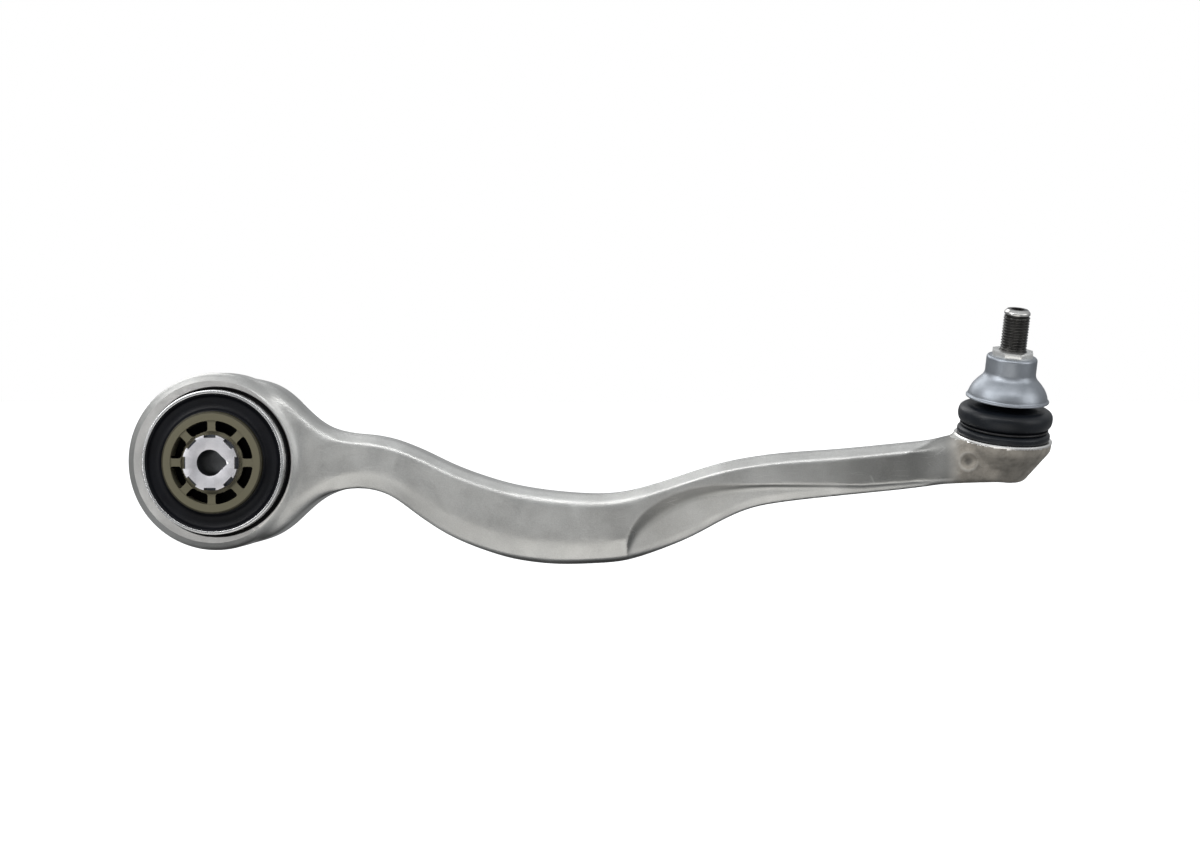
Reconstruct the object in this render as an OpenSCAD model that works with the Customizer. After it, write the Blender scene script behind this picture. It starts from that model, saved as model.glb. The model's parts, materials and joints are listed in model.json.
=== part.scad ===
// Front suspension tension strut: a forged aluminium arm with a fluid-filled rubber bush in the
// eye at one end and a ball joint at the other. Millimetres.
// Origin: centre of the bush bore. Y runs along the bush axis, X towards the ball, Z up.

/* [Arm forging] */
// Distance from the bush axis to the ball centre, along X
arm_length = 422; // [415:1:430]
// Outer radius of the bush eye
eye_r = 48.3; // [47.6:0.1:49]
// How far the centre of the eye's outer circle sits behind the bush axis
eye_set_back = 2; // [0:0.5:3]
// Half the width of the eye along the bush axis
eye_half = 18; // [17.5:0.5:20]
// Chamfer on the eye's outer edges
eye_chamfer = 2.5; // [1:0.5:3]
// Half the thickness of the arm at its thinnest, along Y
arm_half = 12; // [11:0.5:13]
// How far the lower facet of the arm leans in at its bottom edge
facet_inset = 5; // [3:0.5:6]

/* [Bush] */
// Outer radius of the steel outer sleeve
sleeve_r = 39; // [38.6:0.1:39.4]
// Wall of the outer sleeve
sleeve_wall = 1.8; // [1.4:0.1:2]
// Half the length of the outer sleeve
sleeve_half = 28.5; // [27:0.5:29]
// Outer radius of the spoked core moulding
core_r = 27.6; // [27:0.1:28]
// Half the length of the core moulding
core_half = 31; // [30:0.5:31.5]
// Number of spokes in the core moulding
spokes = 8; // [6:1:8]
// Outer radius of the inner sleeve
inner_r = 15; // [14.5:0.1:15.5]
// Half the length of the inner sleeve
inner_half = 34.5; // [33:0.5:36]
// Radius of the bolt bore
bore_r = 7.1; // [6.8:0.1:7.2]

/* [Ball joint] */
// Height of the ball centre above the bush axis
ball_z = 9; // [7:0.5:11]
// Tilt of the ball axis towards the front, in degrees
ball_tilt = 12; // [8:1:14]
// Lean of the ball axis along the arm, in degrees
ball_lean = 6; // [4:1:8]
// Radius of the ball
ball_r = 12.5; // [12.2:0.1:12.6]
// Radius of the housing at its machined rim
housing_r = 26.2; // [25.5:0.1:27]
// Radius of the stud thread
thread_r = 7; // [6:0.5:7]
// Distance from the ball centre to the end of the stud
stud_end = 74.8; // [70:0.5:78]
// Radius of the shield's skirt
skirt_r = 21.7; // [21:0.1:22.5]

/* [Hidden] */

// Bush, radii about Y
fit_gap = 0.05;
cage_r = 33.2;
cage_wall = 1.2;
cage_half = 24;
window_half = 13;
window_angle = 84;
channel_r = 35;
channel_half = 14;
groove_half = 3.5;
hub_r = 17;
spoke_wide = 4.3;
rim_wall = 4.9;
hub_drop = 3;
spoke_drop = 0.6;
web_half = 20;
notch_wide = 6.4;
notch_deep = 1.3;
notch_long = 8;
stop_angle = 34;
stop_wall = 3;
stop_half = 9;
key_angle = 38;
key_tip = 10.3;

// Ball joint, heights along the ball axis from the ball centre
rim_h = 6;
wall_h = 0.5;
floor_h = -16;
floor_r = 13.5;
spigot_r = 20.5;
spigot_h = 10;
cup_r = 15.5;
cup_floor_h = -14;
cup_floor_r = 8;
cup_knee_h = -6;
seat_top_h = 5;
ring_r = 17.5;
ring_top_h = 8;
ring_hole_r = 12.4;
ring_mouth_r = 13.6;
neck_r = 7.5;
neck_h = 13;
shield_h = 26.2;
shield_wall = 1.6;
hub_h = 41;
hub_top_h = 49.5;
hub_out_r = 13.5;
collar_h = 53;
collar_r = 11.4;
collar_gap = 0.5;
thread_chamfer = 1.5;
recess_r = 3.5;
recess_deep = 5;
ball_flat_r = 4;
relief_r = 3;
press_gap = 0.02;

// Rubber boot and its two rings
bead_r = 24.7;
bead_top_h = 10;
groove_r = 22.3;
groove_h = 12;
roll_r = 20.2;
roll_h = 17;
outer_roll = 5;
inner_roll = 3;
lip_r = 11;
lip_hole_r = 8.2;
lip_foot_h = 23;
lip_top_h = 28.5;
lower_wire_r = 0.6;
lower_wire_h = 11.3;
upper_wire_r = 0.85;
upper_wire_h = 26.5;

// Arm outline: [share of the arm length, top Z, bottom Z, half thickness over arm_half].
// The first rows are the flare out of the eye, the last ones run into the ball housing.
ARM = [
    [0.030, 45.6, -45.4, 5.0],
    [0.050, 44.4, -43.8, 4.8],
    [0.068, 42.2, -41.2, 4.4],
    [0.085, 38.0, -37.0, 3.8],
    [0.102, 31.0, -30.4, 3.2],
    [0.119, 24.0, -23.4, 2.7],
    [0.140, 18.2, -17.8, 2.2],
    [0.166, 15.4, -14.6, 1.8],
    [0.194, 14.5, -14.6, 1.5],
    [0.223, 12.2, -18.2, 1.5],
    [0.261, 6.1, -29.8, 1.5],
    [0.299, -1.6, -39.8, 1.5],
    [0.337, -7.5, -46.6, 1.5],
    [0.379, -12.5, -52.0, 1.5],
    [0.431, -15.8, -54.8, 1.5],
    [0.488, -17.2, -54.3, 1.5],
    [0.526, -15.6, -52.6, 1.4],
    [0.569, -10.5, -46.7, 1.2],
    [0.611, -4.6, -39.2, 0.8],
    [0.649, 0.1, -30.4, 0.4],
    [0.683, 2.9, -24.2, 0.1],
    [0.725, 5.2, -20.8, 0.0],
    [0.796, 7.4, -17.3, 0.0],
    [0.872, 10.6, -13.9, 0.6],
    [0.910, 12.3, -11.8, 2.0],
    [0.929, 14.3, -10.8, 4.6],
    [0.946, 16.2, -10.3, 7.6],
    [0.972, 14.0, -10.0, 7.0],
    [1.005, 9.0, -9.6, 3.0]
];
rings = 62;
top_bevel = 5;
top_inset = 4;
low_bevel = 8;

// The edge above the lower facet: a quarter ellipse that sweeps up from the belly, then level
facet_x = 0.652 * arm_length;
facet_run = 0.1245 * arm_length;
facet_z = -11;
facet_rise = 33;

function last(list) = len(list) - 1;
function row_at(t, i = 0) = i >= last(ARM) - 1 || ARM[i + 1][0] > t ? i : row_at(t, i + 1);
function row_slope(i, k) = let (a = max(i - 1, 0), b = min(i + 1, last(ARM)))
    (ARM[b][k] - ARM[a][k]) / (ARM[b][0] - ARM[a][0]);
// Column k of ARM at share t, on a smooth curve through the rows
function arm_at(t, k) =
    let (i = row_at(t), h = ARM[i + 1][0] - ARM[i][0], s = (t - ARM[i][0]) / h)
    (2 * s ^ 3 - 3 * s ^ 2 + 1) * ARM[i][k]
    + (s ^ 3 - 2 * s ^ 2 + s) * h * row_slope(i, k)
    + (3 * s ^ 2 - 2 * s ^ 3) * ARM[i + 1][k]
    + (s ^ 3 - s ^ 2) * h * row_slope(i + 1, k);
function facet_edge(x, low) =
    x < facet_x - facet_run ? low + low_bevel
    : let (back = max(facet_x - x, 0) / facet_run)
      max(low + 1, facet_z - facet_rise * (1 - sqrt(1 - back ^ 2)));
function arm_ring(t) =
    let (
        x = t * arm_length,
        high = arm_at(t, 1),
        low = arm_at(t, 2),
        half = arm_half + arm_at(t, 3),
        edge = facet_edge(x, low),
        sole = half - facet_inset * min(1, (edge - low) / low_bevel)
    )
    [
        [x, top_inset - half, high], [x, half - top_inset, high],
        [x, half, high - top_bevel], [x, half, edge], [x, sole, low],
        [x, -sole, low], [x, -half, edge], [x, -half, high - top_bevel]
    ];

module arm_beam() {
    first = ARM[0][0];
    span = ARM[last(ARM)][0] - first;
    sections = [for (k = [0:rings - 1]) arm_ring(first + span * k / (rings - 1))];
    n = len(sections[0]);
    points = [for (ring = sections) each ring];
    sides = [for (k = [0:rings - 2]) for (j = [0:n - 1])
        let (a = k * n + j, b = k * n + (j + 1) % n)
        each [[a, b, b + n], [a, b + n, a + n]]];
    caps = [[for (j = [0:n - 1]) n - 1 - j], [for (j = [0:n - 1]) (rings - 1) * n + j]];
    polyhedron(points, concat(sides, caps));
}

// Turns children from the Z axis onto the bush axis, heights running along Y
module along_bush() {
    rotate([-90, 0, 0]) children();
}

// Places children, built about Z with the ball centre at the origin, on the ball axis
module at_ball() {
    translate([arm_length, 0, ball_z]) rotate([ball_tilt, ball_lean, 0]) children();
}

// A tube about Z, centred on the origin
module tube(outer, inner, half, fn = 96) {
    difference() {
        cylinder(h = 2 * half, r = outer, center = true, $fn = fn);
        cylinder(h = 2 * half + 2, r = inner, center = true, $fn = fn);
    }
}

// A block of a ring about Z, from one radius to another, over an angle centred on +X
module ring_block(outer, inner, half, angle) {
    rotate([0, 0, -angle / 2])
    rotate_extrude(angle = angle, $fn = 96)
    translate([inner, -half]) square([outer - inner, 2 * half]);
}

module eye_blank() {
    rotate_extrude($fn = 128)
    polygon([
        [0, -eye_half], [eye_r - eye_chamfer, -eye_half], [eye_r, eye_chamfer - eye_half],
        [eye_r, eye_half - eye_chamfer], [eye_r - eye_chamfer, eye_half], [0, eye_half]
    ]);
}

module housing_blank() {
    rotate_extrude($fn = 96)
    polygon([
        [0, floor_h], [floor_r, floor_h], [housing_r - 0.5, wall_h],
        [housing_r, wall_h + 1.5], [housing_r, rim_h], [0, rim_h]
    ]);
}

// The socket that takes the seat from above, with the groove for the retaining ring
module socket() {
    rotate_extrude($fn = 96)
    polygon([
        [0, cup_floor_h], [cup_floor_r, cup_floor_h], [cup_r, cup_knee_h], [cup_r, seat_top_h],
        [ring_r, seat_top_h], [ring_r, ring_top_h], [ring_r - 1.2, ring_top_h + 0.8],
        [ring_r - 1.2, spigot_h + 1], [0, spigot_h + 1]
    ]);
}

module arm_forging() {
    color("silver")
    difference() {
        union() {
            difference() {
                union() {
                    translate([-eye_set_back, 0, 0]) along_bush() eye_blank();
                    arm_beam();
                    at_ball() housing_blank();
                }
                at_ball() translate([0, 0, rim_h]) cylinder(h = 30, r = housing_r + 6, $fn = 96);
            }
            at_ball() translate([0, 0, rim_h - 1])
            cylinder(h = spigot_h - rim_h + 1, r = spigot_r, $fn = 96);
        }
        along_bush() cylinder(h = 4 * eye_half, r = sleeve_r + press_gap, center = true, $fn = 128);
        at_ball() socket();
    }
}

module bush_outer_sleeve() {
    color("gainsboro")
    along_bush() tube(sleeve_r, sleeve_r - sleeve_wall, sleeve_half, 128);
}

// Bonded to the core inside and the cage outside, with a fluid chamber at each side
module rubber_spring() {
    color([0.07, 0.07, 0.08])
    along_bush()
    difference() {
        tube(sleeve_r - sleeve_wall - press_gap, core_r + fit_gap, sleeve_half - 0.8, 128);
        tube(cage_r, cage_r - cage_wall, cage_half);
        tube(sleeve_r, channel_r - press_gap, channel_half);
        for (side = [0, 180]) rotate([0, 0, side])
        ring_block(sleeve_r, core_r - 1, window_half - 1, window_angle - 4);
    }
}

// Steel cage inside the rubber, with a window over each fluid chamber
module window_cage() {
    color("gray")
    along_bush()
    difference() {
        tube(cage_r - press_gap, cage_r - cage_wall + press_gap, cage_half - press_gap);
        for (side = [0, 180]) rotate([0, 0, side])
        ring_block(cage_r + 1, cage_r - cage_wall - 1, window_half, window_angle);
    }
}

// Half ring with the groove that joins the two fluid chambers
module channel_half_ring() {
    color([0.16, 0.17, 0.2])
    along_bush()
    difference() {
        rotate([0, 0, 0.5])
        rotate_extrude(angle = 179, $fn = 96)
        translate([channel_r, press_gap - channel_half])
        square([sleeve_r - sleeve_wall - 2 * press_gap - channel_r, 2 * (channel_half - press_gap)]);
        tube(sleeve_r, channel_r + 1, groove_half);
        cylinder(h = 2 * channel_half - 6, r = channel_r + 0.6, center = true, $fn = 96);
    }
}

module channel_shell_upper() {
    mirror([0, 0, 1]) channel_half_ring();
}

module channel_shell_lower() {
    channel_half_ring();
}

// Spoked plastic moulding on the inner sleeve; the pockets stop at a closed web
module core_moulding() {
    color([0.36, 0.34, 0.25])
    along_bush()
    difference() {
        union() {
            tube(core_r, core_r - rim_wall, core_half);
            tube(hub_r, inner_r + press_gap, core_half - hub_drop);
            tube(core_r - rim_wall + 0.5, hub_r - 0.5, web_half);
            for (k = [0:spokes - 1]) rotate([0, 0, k * 360 / spokes])
            translate([(core_r - rim_wall + hub_r) / 2, 0, 0])
            cube([core_r - rim_wall - hub_r + 1, spoke_wide, 2 * (core_half - spoke_drop)],
                center = true);
        }
        cylinder(h = 3 * core_half, r = inner_r + press_gap, center = true, $fn = 96);
    }
}

// Plastic block bonded to the core, which limits the bush's travel inside its fluid chamber
module travel_stop() {
    color([0.3, 0.3, 0.28])
    along_bush() ring_block(core_r + stop_wall, core_r + press_gap, stop_half, stop_angle);
}

module travel_stop_right() {
    travel_stop();
}

module travel_stop_left() {
    mirror([1, 0, 0]) travel_stop();
}

// The outline cut away beside the bore, so that the sleeve fits an eccentric adjusting bolt
module key_notch() {
    at = bore_r * [cos(key_angle), sin(key_angle)];
    polygon([[0, 0], [at.x, -at.y], [key_tip, 0], [at.x, at.y]]);
}

module inner_sleeve() {
    color("lightgray")
    along_bush()
    difference() {
        cylinder(h = 2 * inner_half, r = inner_r, center = true, $fn = 96);
        cylinder(h = 2 * inner_half + 2, r = bore_r, center = true, $fn = 96);
        translate([0, 0, -inner_half - 1])
        linear_extrude(height = 2 * inner_half + 2) key_notch();
        for (end = [-1, 1]) for (k = [0:spokes - 1]) rotate([0, 0, k * 360 / spokes])
        translate([inner_r, 0, end * inner_half])
        cube([2 * notch_deep, notch_wide, notch_long], center = true);
    }
}

module ball_seat() {
    color("ivory")
    at_ball()
    difference() {
        rotate_extrude($fn = 96)
        polygon([
            [0, cup_floor_h + press_gap], [cup_floor_r - 0.05, cup_floor_h + press_gap],
            [cup_r - press_gap, cup_knee_h], [cup_r - press_gap, seat_top_h - press_gap],
            [0, seat_top_h - press_gap]
        ]);
        sphere(r = ball_r + fit_gap, $fn = 96);
        translate([0, 0, cup_floor_h - 1]) cylinder(h = 6, r = relief_r, $fn = 48);
    }
}

module retaining_ring() {
    color("gray")
    at_ball()
    rotate_extrude($fn = 96)
    polygon([
        [ring_hole_r, seat_top_h], [ring_r - press_gap, seat_top_h],
        [ring_r - press_gap, ring_top_h - press_gap], [ring_mouth_r, ring_top_h - press_gap]
    ]);
}

// Rubber boot: a bead on the housing spigot, a rolled bulge and a lip on the stud
module ball_boot() {
    color([0.06, 0.07, 0.08])
    at_ball()
    rotate_extrude($fn = 96)
    polygon(concat(
        [
            [spigot_r + press_gap, rim_h + press_gap], [bead_r - 0.4, rim_h + press_gap],
            [bead_r, rim_h + 1], [bead_r, bead_top_h - 1], [bead_r - 0.7, bead_top_h],
            [groove_r, bead_top_h + 0.6], [groove_r, groove_h]
        ],
        [for (a = [-60:15:90]) [roll_r + outer_roll * cos(a), roll_h + outer_roll * sin(a)]],
        [
            [14, lip_foot_h], [lip_r, lip_foot_h + 1.4], [lip_r, lip_top_h],
            [lip_hole_r, lip_top_h], [lip_hole_r, lip_foot_h], [12.5, lip_foot_h - 1.6]
        ],
        [for (a = [90:-15:-60]) [roll_r + inner_roll * cos(a), roll_h + inner_roll * sin(a)]],
        [[spigot_r + press_gap, groove_h + 0.6]]
    ));
}

// Wire ring that clamps the boot's bead, lying in the groove under the bulge
module boot_ring_lower() {
    color("dimgray")
    at_ball() translate([0, 0, lower_wire_h])
    rotate_extrude($fn = 96)
    translate([groove_r + lower_wire_r + fit_gap, 0]) circle(r = lower_wire_r, $fn = 24);
}

// Spring ring that holds the boot's lip on the stud
module boot_ring_upper() {
    color("dimgray")
    at_ball() translate([0, 0, upper_wire_h])
    rotate_extrude($fn = 96)
    translate([lip_r + upper_wire_r + fit_gap, 0]) circle(r = upper_wire_r, $fn = 24);
}

module ball_stud() {
    color([0.2, 0.2, 0.22])
    at_ball()
    difference() {
        union() {
            sphere(r = ball_r, $fn = 96);
            rotate_extrude($fn = 96)
            polygon([
                [0, 4], [9.4, 8], [neck_r, neck_h], [neck_r, collar_h - collar_gap],
                [thread_r, collar_h], [thread_r, stud_end - thread_chamfer],
                [thread_r - thread_chamfer, stud_end], [0, stud_end]
            ]);
        }
        translate([0, 0, stud_end - recess_deep])
        cylinder(h = recess_deep + 1, r = recess_r, $fn = 6);
        translate([0, 0, -ball_r - 1]) cylinder(h = 2, r = ball_flat_r, $fn = 48);
    }
}

// Bell-shaped shield pressed on the stud over the boot
module dust_shield() {
    inner_r = neck_r + press_gap;
    color([0.55, 0.58, 0.62])
    at_ball()
    rotate_extrude($fn = 96)
    polygon([
        [inner_r, hub_h - 5], [inner_r, hub_top_h], [hub_out_r - 0.7, hub_top_h],
        [hub_out_r, hub_top_h - 0.7], [hub_out_r, hub_h - 1.5], [hub_out_r + 1, hub_h - 3],
        [17, 35.4], [19.6, 32.4], [21.2, 29.2], [skirt_r, 27], [skirt_r, shield_h],
        [skirt_r - shield_wall, shield_h], [19.6, 28.8], [17.9, 31.6], [15.4, 34.4], [13, 36]
    ]);
}

// Eight-sided collar that seats in the knuckle
module seat_collar() {
    color("whitesmoke")
    at_ball()
    difference() {
        translate([0, 0, hub_top_h]) rotate([0, 0, 22.5])
        cylinder(h = collar_h - hub_top_h - collar_gap, r = collar_r, $fn = 8);
        cylinder(h = 2 * collar_h, r = neck_r + press_gap, $fn = 96);
    }
}

arm_forging();
bush_outer_sleeve();
rubber_spring();
window_cage();
channel_shell_upper();
channel_shell_lower();
core_moulding();
travel_stop_left();
travel_stop_right();
inner_sleeve();
ball_seat();
retaining_ring();
ball_boot();
boot_ring_lower();
boot_ring_upper();
ball_stud();
dust_shield();
seat_collar();
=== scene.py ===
"""Dresses a control arm: a forged aluminium strut with a fluid-filled bush and a ball joint.

Lengths in the classes are millimetres; MM turns them into the scene's metres. Turned pieces are
drawn as outlines of (radius, height) about the bush axis or the ball axis, and a third number on
a corner says how far it is eased.
"""
import json
import logging
import math
from collections.abc import Callable, Sequence
from dataclasses import dataclass
from enum import Enum, IntEnum

import bmesh
import bpy
import numpy as np
from mathutils import Matrix, Vector, noise
from mathutils.bvhtree import BVHTree


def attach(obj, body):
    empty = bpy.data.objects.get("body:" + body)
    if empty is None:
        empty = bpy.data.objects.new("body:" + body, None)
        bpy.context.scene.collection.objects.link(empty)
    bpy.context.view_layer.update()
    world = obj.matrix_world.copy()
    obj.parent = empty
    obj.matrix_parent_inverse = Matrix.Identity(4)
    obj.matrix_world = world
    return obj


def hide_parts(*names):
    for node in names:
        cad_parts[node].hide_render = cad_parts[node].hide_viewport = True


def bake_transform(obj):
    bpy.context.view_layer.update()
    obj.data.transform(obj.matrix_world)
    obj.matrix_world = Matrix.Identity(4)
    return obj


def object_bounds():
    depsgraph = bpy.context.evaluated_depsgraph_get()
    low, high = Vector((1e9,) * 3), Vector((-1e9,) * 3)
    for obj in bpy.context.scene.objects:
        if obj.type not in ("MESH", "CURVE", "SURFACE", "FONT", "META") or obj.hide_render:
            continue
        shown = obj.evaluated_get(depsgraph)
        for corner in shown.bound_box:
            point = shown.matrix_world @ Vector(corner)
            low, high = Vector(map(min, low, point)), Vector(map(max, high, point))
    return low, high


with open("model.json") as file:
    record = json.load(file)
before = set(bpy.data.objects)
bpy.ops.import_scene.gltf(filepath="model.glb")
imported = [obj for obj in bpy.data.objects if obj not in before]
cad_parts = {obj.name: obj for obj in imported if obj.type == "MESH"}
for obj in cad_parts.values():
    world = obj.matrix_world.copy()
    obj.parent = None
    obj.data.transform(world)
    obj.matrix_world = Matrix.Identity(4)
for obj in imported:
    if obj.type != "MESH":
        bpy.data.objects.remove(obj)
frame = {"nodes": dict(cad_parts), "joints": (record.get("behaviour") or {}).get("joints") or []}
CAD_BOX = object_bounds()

MM = 0.001
FULL_TURN = 2 * math.pi
LOG = logging.getLogger("control_arm")
FLAT_POINTINESS = 0.5
TONE_SHARES = (0.45, 0.55)
ROUGH_SHARES = (0.7, 0.3)
SCRATCH_GLEAM = 1.4

Rgb = tuple[float, float, float]
Outline = Sequence[tuple[float, ...]]
# where something begins and is full, and for four numbers also where it fades and ends
Stretch = tuple[float, ...]


class Station(Enum):
    """The axis that a turned piece is built about."""

    BUSH = "bush"
    BALL = "ball"


class Cut(Enum):
    """What a tool does to the piece it meets."""

    REMOVE = "DIFFERENCE"
    ADD = "UNION"


class Face(IntEnum):
    """Which finish of a piece a face has, the first or one added to it."""

    FIRST = 0
    ADDED = 1


def joint_named(name: str) -> dict:
    """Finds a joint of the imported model.

    Args:
        name: the joint's name.

    Returns:
        The joint's row, with its place and axis.
    """
    return next(joint for joint in frame["joints"] if joint["name"] == name)


def station_matrix(station: Station) -> Matrix:
    """Gives the place and direction of a station.

    Args:
        station: the axis wanted.

    Returns:
        A matrix that takes +Z at the origin onto the station's axis.
    """
    if station is Station.BUSH:
        return Matrix.Rotation(-math.pi / 2, 4, "X")
    across = Vector(joint_named("ball_tilt")["axis"]).normalized()
    up = Vector(joint_named("tilt_direction")["axis"]).normalized()
    turned_frame = Matrix((across.cross(up), across, up)).transposed().to_4x4()
    turned_frame.translation = Vector(joint_named("ball_tilt")["pos_m"])
    return turned_frame


def smooth_step(value: np.ndarray | float) -> np.ndarray | float:
    """Eases a share: 0 below 0, 1 above 1, and level at both ends."""
    share = np.clip(value, 0.0, 1.0)
    return share * share * (3 - 2 * share)


def ramp(value: np.ndarray | float, start: float, end: float) -> np.ndarray | float:
    """Eases from 0 at start to 1 at end, and falls with the value if end is below start."""
    return smooth_step((value - start) / (end - start))


def hump(
    value: np.ndarray | float, rise: float, top: float, fall: float, end: float
) -> np.ndarray | float:
    """Eases from 0 at rise to 1 at top, and from 1 at fall back to 0 at end."""
    return ramp(value, rise, top) * ramp(value, end, fall)


def round_points(
    radius: float, angles: Sequence[float], middle: tuple[float, float] = (0.0, 0.0)
) -> list[tuple[float, float]]:
    """Places points on a circle.

    Args:
        radius: the circle's radius.
        angles: where each point is, in radians.
        middle: the circle's middle.

    Returns:
        The points.
    """
    across, up = middle
    return [(across + radius * math.cos(a), up + radius * math.sin(a)) for a in angles]


def other_end(half: Outline) -> list[tuple[float, ...]]:
    """Mirrors corners to the other end of their axis, in the order that closes the outline."""
    return [(radius, -height, *ease) for radius, height, *ease in reversed(half)]


# --- mesh work ------------------------------------------------------------------------------


def add_mesh(name: str, points: np.ndarray, faces: Sequence[Sequence[int]]) -> bpy.types.Object:
    """Makes an object from points and faces.

    Args:
        name: the object's name.
        points: one row of x, y and z for each point, in metres.
        faces: the point numbers of each face.

    Returns:
        The new object, linked to the scene.
    """
    mesh = bpy.data.meshes.new(name)
    mesh.from_pydata(points.tolist(), [], faces)
    shell = bmesh.new()
    shell.from_mesh(mesh)
    bmesh.ops.remove_doubles(shell, verts=shell.verts, dist=1e-7)
    bmesh.ops.recalc_face_normals(shell, faces=shell.faces)
    shell.to_mesh(mesh)
    shell.free()
    piece = bpy.data.objects.new(name, mesh)
    bpy.context.scene.collection.objects.link(piece)
    return piece


def eased(outline: Outline, steps: int = 5) -> list[tuple[float, float]]:
    """Rounds the corners of a closed outline.

    Args:
        outline: corners as (radius, height) or (radius, height, ease), where ease is how far
            from the corner its curve starts.
        steps: how many stretches a curve has.

    Returns:
        The outline's points.
    """
    corners = [Vector(corner[:2]) for corner in outline]
    points: list[tuple[float, float]] = []
    for number, corner in enumerate(corners):
        ease = outline[number][2] if len(outline[number]) > 2 else 0.0
        if ease <= 0:
            points.append(tuple(corner))
            continue
        before = corners[number - 1] - corner
        after = corners[(number + 1) % len(corners)] - corner
        start = corner + before.normalized() * min(ease, before.length * 0.49)
        end = corner + after.normalized() * min(ease, after.length * 0.49)
        for step in range(steps + 1):
            share = step / steps
            points.append(tuple(
                start * (1 - share) ** 2 + corner * 2 * share * (1 - share) + end * share ** 2
            ))
    return points


def turn(
    name: str,
    outline: Outline,
    station: Station,
    segments: int = 160,
    sweep: tuple[float, float] | None = None,
    warp: Callable[[np.ndarray, np.ndarray, np.ndarray], np.ndarray] | None = None,
) -> bpy.types.Object:
    """Revolves a closed outline about a station.

    Args:
        name: the object's name.
        outline: the outline, as eased() takes it.
        station: the axis it turns about.
        segments: how many steps make the turn.
        sweep: first and last angle in degrees, for a block of a ring.
        warp: gives each point's radius from its radius, height and angle.

    Returns:
        The new object.
    """
    radius, height = np.array(eased(outline)).T
    first, last = (0.0, 360.0) if sweep is None else sweep
    angle = np.radians(np.linspace(first, last, segments, endpoint=sweep is not None))
    radius, turned = np.meshgrid(radius, angle, indexing="ij")
    height = np.broadcast_to(height[:, None], radius.shape)
    if warp is not None:
        radius = warp(radius, height, turned)
    points = np.stack([radius * np.cos(turned), radius * np.sin(turned), height], -1)
    place = np.array(station_matrix(station))
    points = points.reshape(-1, 3) * MM @ place[:3, :3].T + place[:3, 3]
    rows, columns = radius.shape
    steps = columns if sweep is None else columns - 1
    faces = [
        (
            row * columns + step,
            row * columns + (step + 1) % columns,
            (row + 1) % rows * columns + (step + 1) % columns,
            (row + 1) % rows * columns + step,
        )
        for row in range(rows)
        for step in range(steps)
    ]
    if sweep is not None:
        faces.append(tuple(row * columns for row in range(rows)))
        faces.append(tuple(row * columns + columns - 1 for row in range(rows)))
    return add_mesh(name, points, faces)


def prism(
    name: str, edge: Sequence[tuple[float, float]], low: float, high: float, station: Station
) -> bpy.types.Object:
    """Raises a flat outline into a block.

    Args:
        name: the object's name.
        edge: the outline's points across the axis.
        low: height of the lower face.
        high: height of the upper face.
        station: the axis it stands on.

    Returns:
        The new object.
    """
    count = len(edge)
    flat = [(x, y, level) for level in (low, high) for x, y in edge]
    place = np.array(station_matrix(station))
    points = np.array(flat) * MM @ place[:3, :3].T + place[:3, 3]
    faces = [tuple(range(count)), tuple(range(count, 2 * count))]
    faces += [(k, (k + 1) % count, (k + 1) % count + count, k + count) for k in range(count)]
    return add_mesh(name, points, faces)


def settle(piece: bpy.types.Object) -> bpy.types.Object:
    """Applies the modifiers of a piece to its mesh.

    Args:
        piece: the object to settle.

    Returns:
        The same object, with no modifiers.
    """
    graph = bpy.context.evaluated_depsgraph_get()
    mesh = bpy.data.meshes.new_from_object(piece.evaluated_get(graph))
    piece.modifiers.clear()
    old, piece.data = piece.data, mesh
    bpy.data.meshes.remove(old)
    return piece


def carve(piece: bpy.types.Object, tool: bpy.types.Object, cut: Cut = Cut.REMOVE) -> None:
    """Cuts a tool out of a piece, or adds it, and drops the tool.

    Args:
        piece: the object that is changed.
        tool: the closed object that meets it.
        cut: whether the tool is removed or added.
    """
    boolean = piece.modifiers.new("cut", "BOOLEAN")
    boolean.operation = cut.value
    boolean.solver = "MANIFOLD"
    boolean.object = tool
    settle(piece)
    bpy.data.meshes.remove(tool.data)


def break_edges(piece: bpy.types.Object, width: float, angle: float = 40, steps: int = 2) -> None:
    """Bevels the sharp edges of a piece.

    Args:
        piece: the object that is changed.
        width: the bevel's width.
        angle: the sharpest angle in degrees that is left alone.
        steps: how many faces make the bevel.
    """
    bevel = piece.modifiers.new("edges", "BEVEL")
    bevel.width = width * MM
    bevel.segments = steps
    bevel.limit_method = "ANGLE"
    bevel.angle_limit = math.radians(angle)
    settle(piece)


def shade(piece: bpy.types.Object, angle: float = 32) -> None:
    """Shades a piece smooth, with edges sharper than an angle in degrees kept."""
    piece.data.shade_smooth()
    piece.data.set_sharp_from_angle(angle=math.radians(angle))


def read_points(mesh: bpy.types.Mesh, what: str = "co") -> np.ndarray:
    """Reads the places or normals of a mesh's points as rows of three."""
    values = np.zeros(len(mesh.vertices) * 3)
    mesh.vertices.foreach_get(what, values)
    return values.reshape(-1, 3)


def read_faces(mesh: bpy.types.Mesh) -> tuple[np.ndarray, np.ndarray]:
    """Reads the centres, in millimetres, and the normals of a mesh's faces as rows of three."""
    centre, normal = np.zeros(len(mesh.polygons) * 3), np.zeros(len(mesh.polygons) * 3)
    mesh.polygons.foreach_get("center", centre)
    mesh.polygons.foreach_get("normal", normal)
    return centre.reshape(-1, 3) / MM, normal.reshape(-1, 3)


def from_ball(points: np.ndarray) -> np.ndarray:
    """Turns places in millimetres into places about the ball axis, which is their Z."""
    place = np.array(station_matrix(Station.BALL))
    return (points * MM - place[:3, 3]) @ place[:3, :3] / MM


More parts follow.
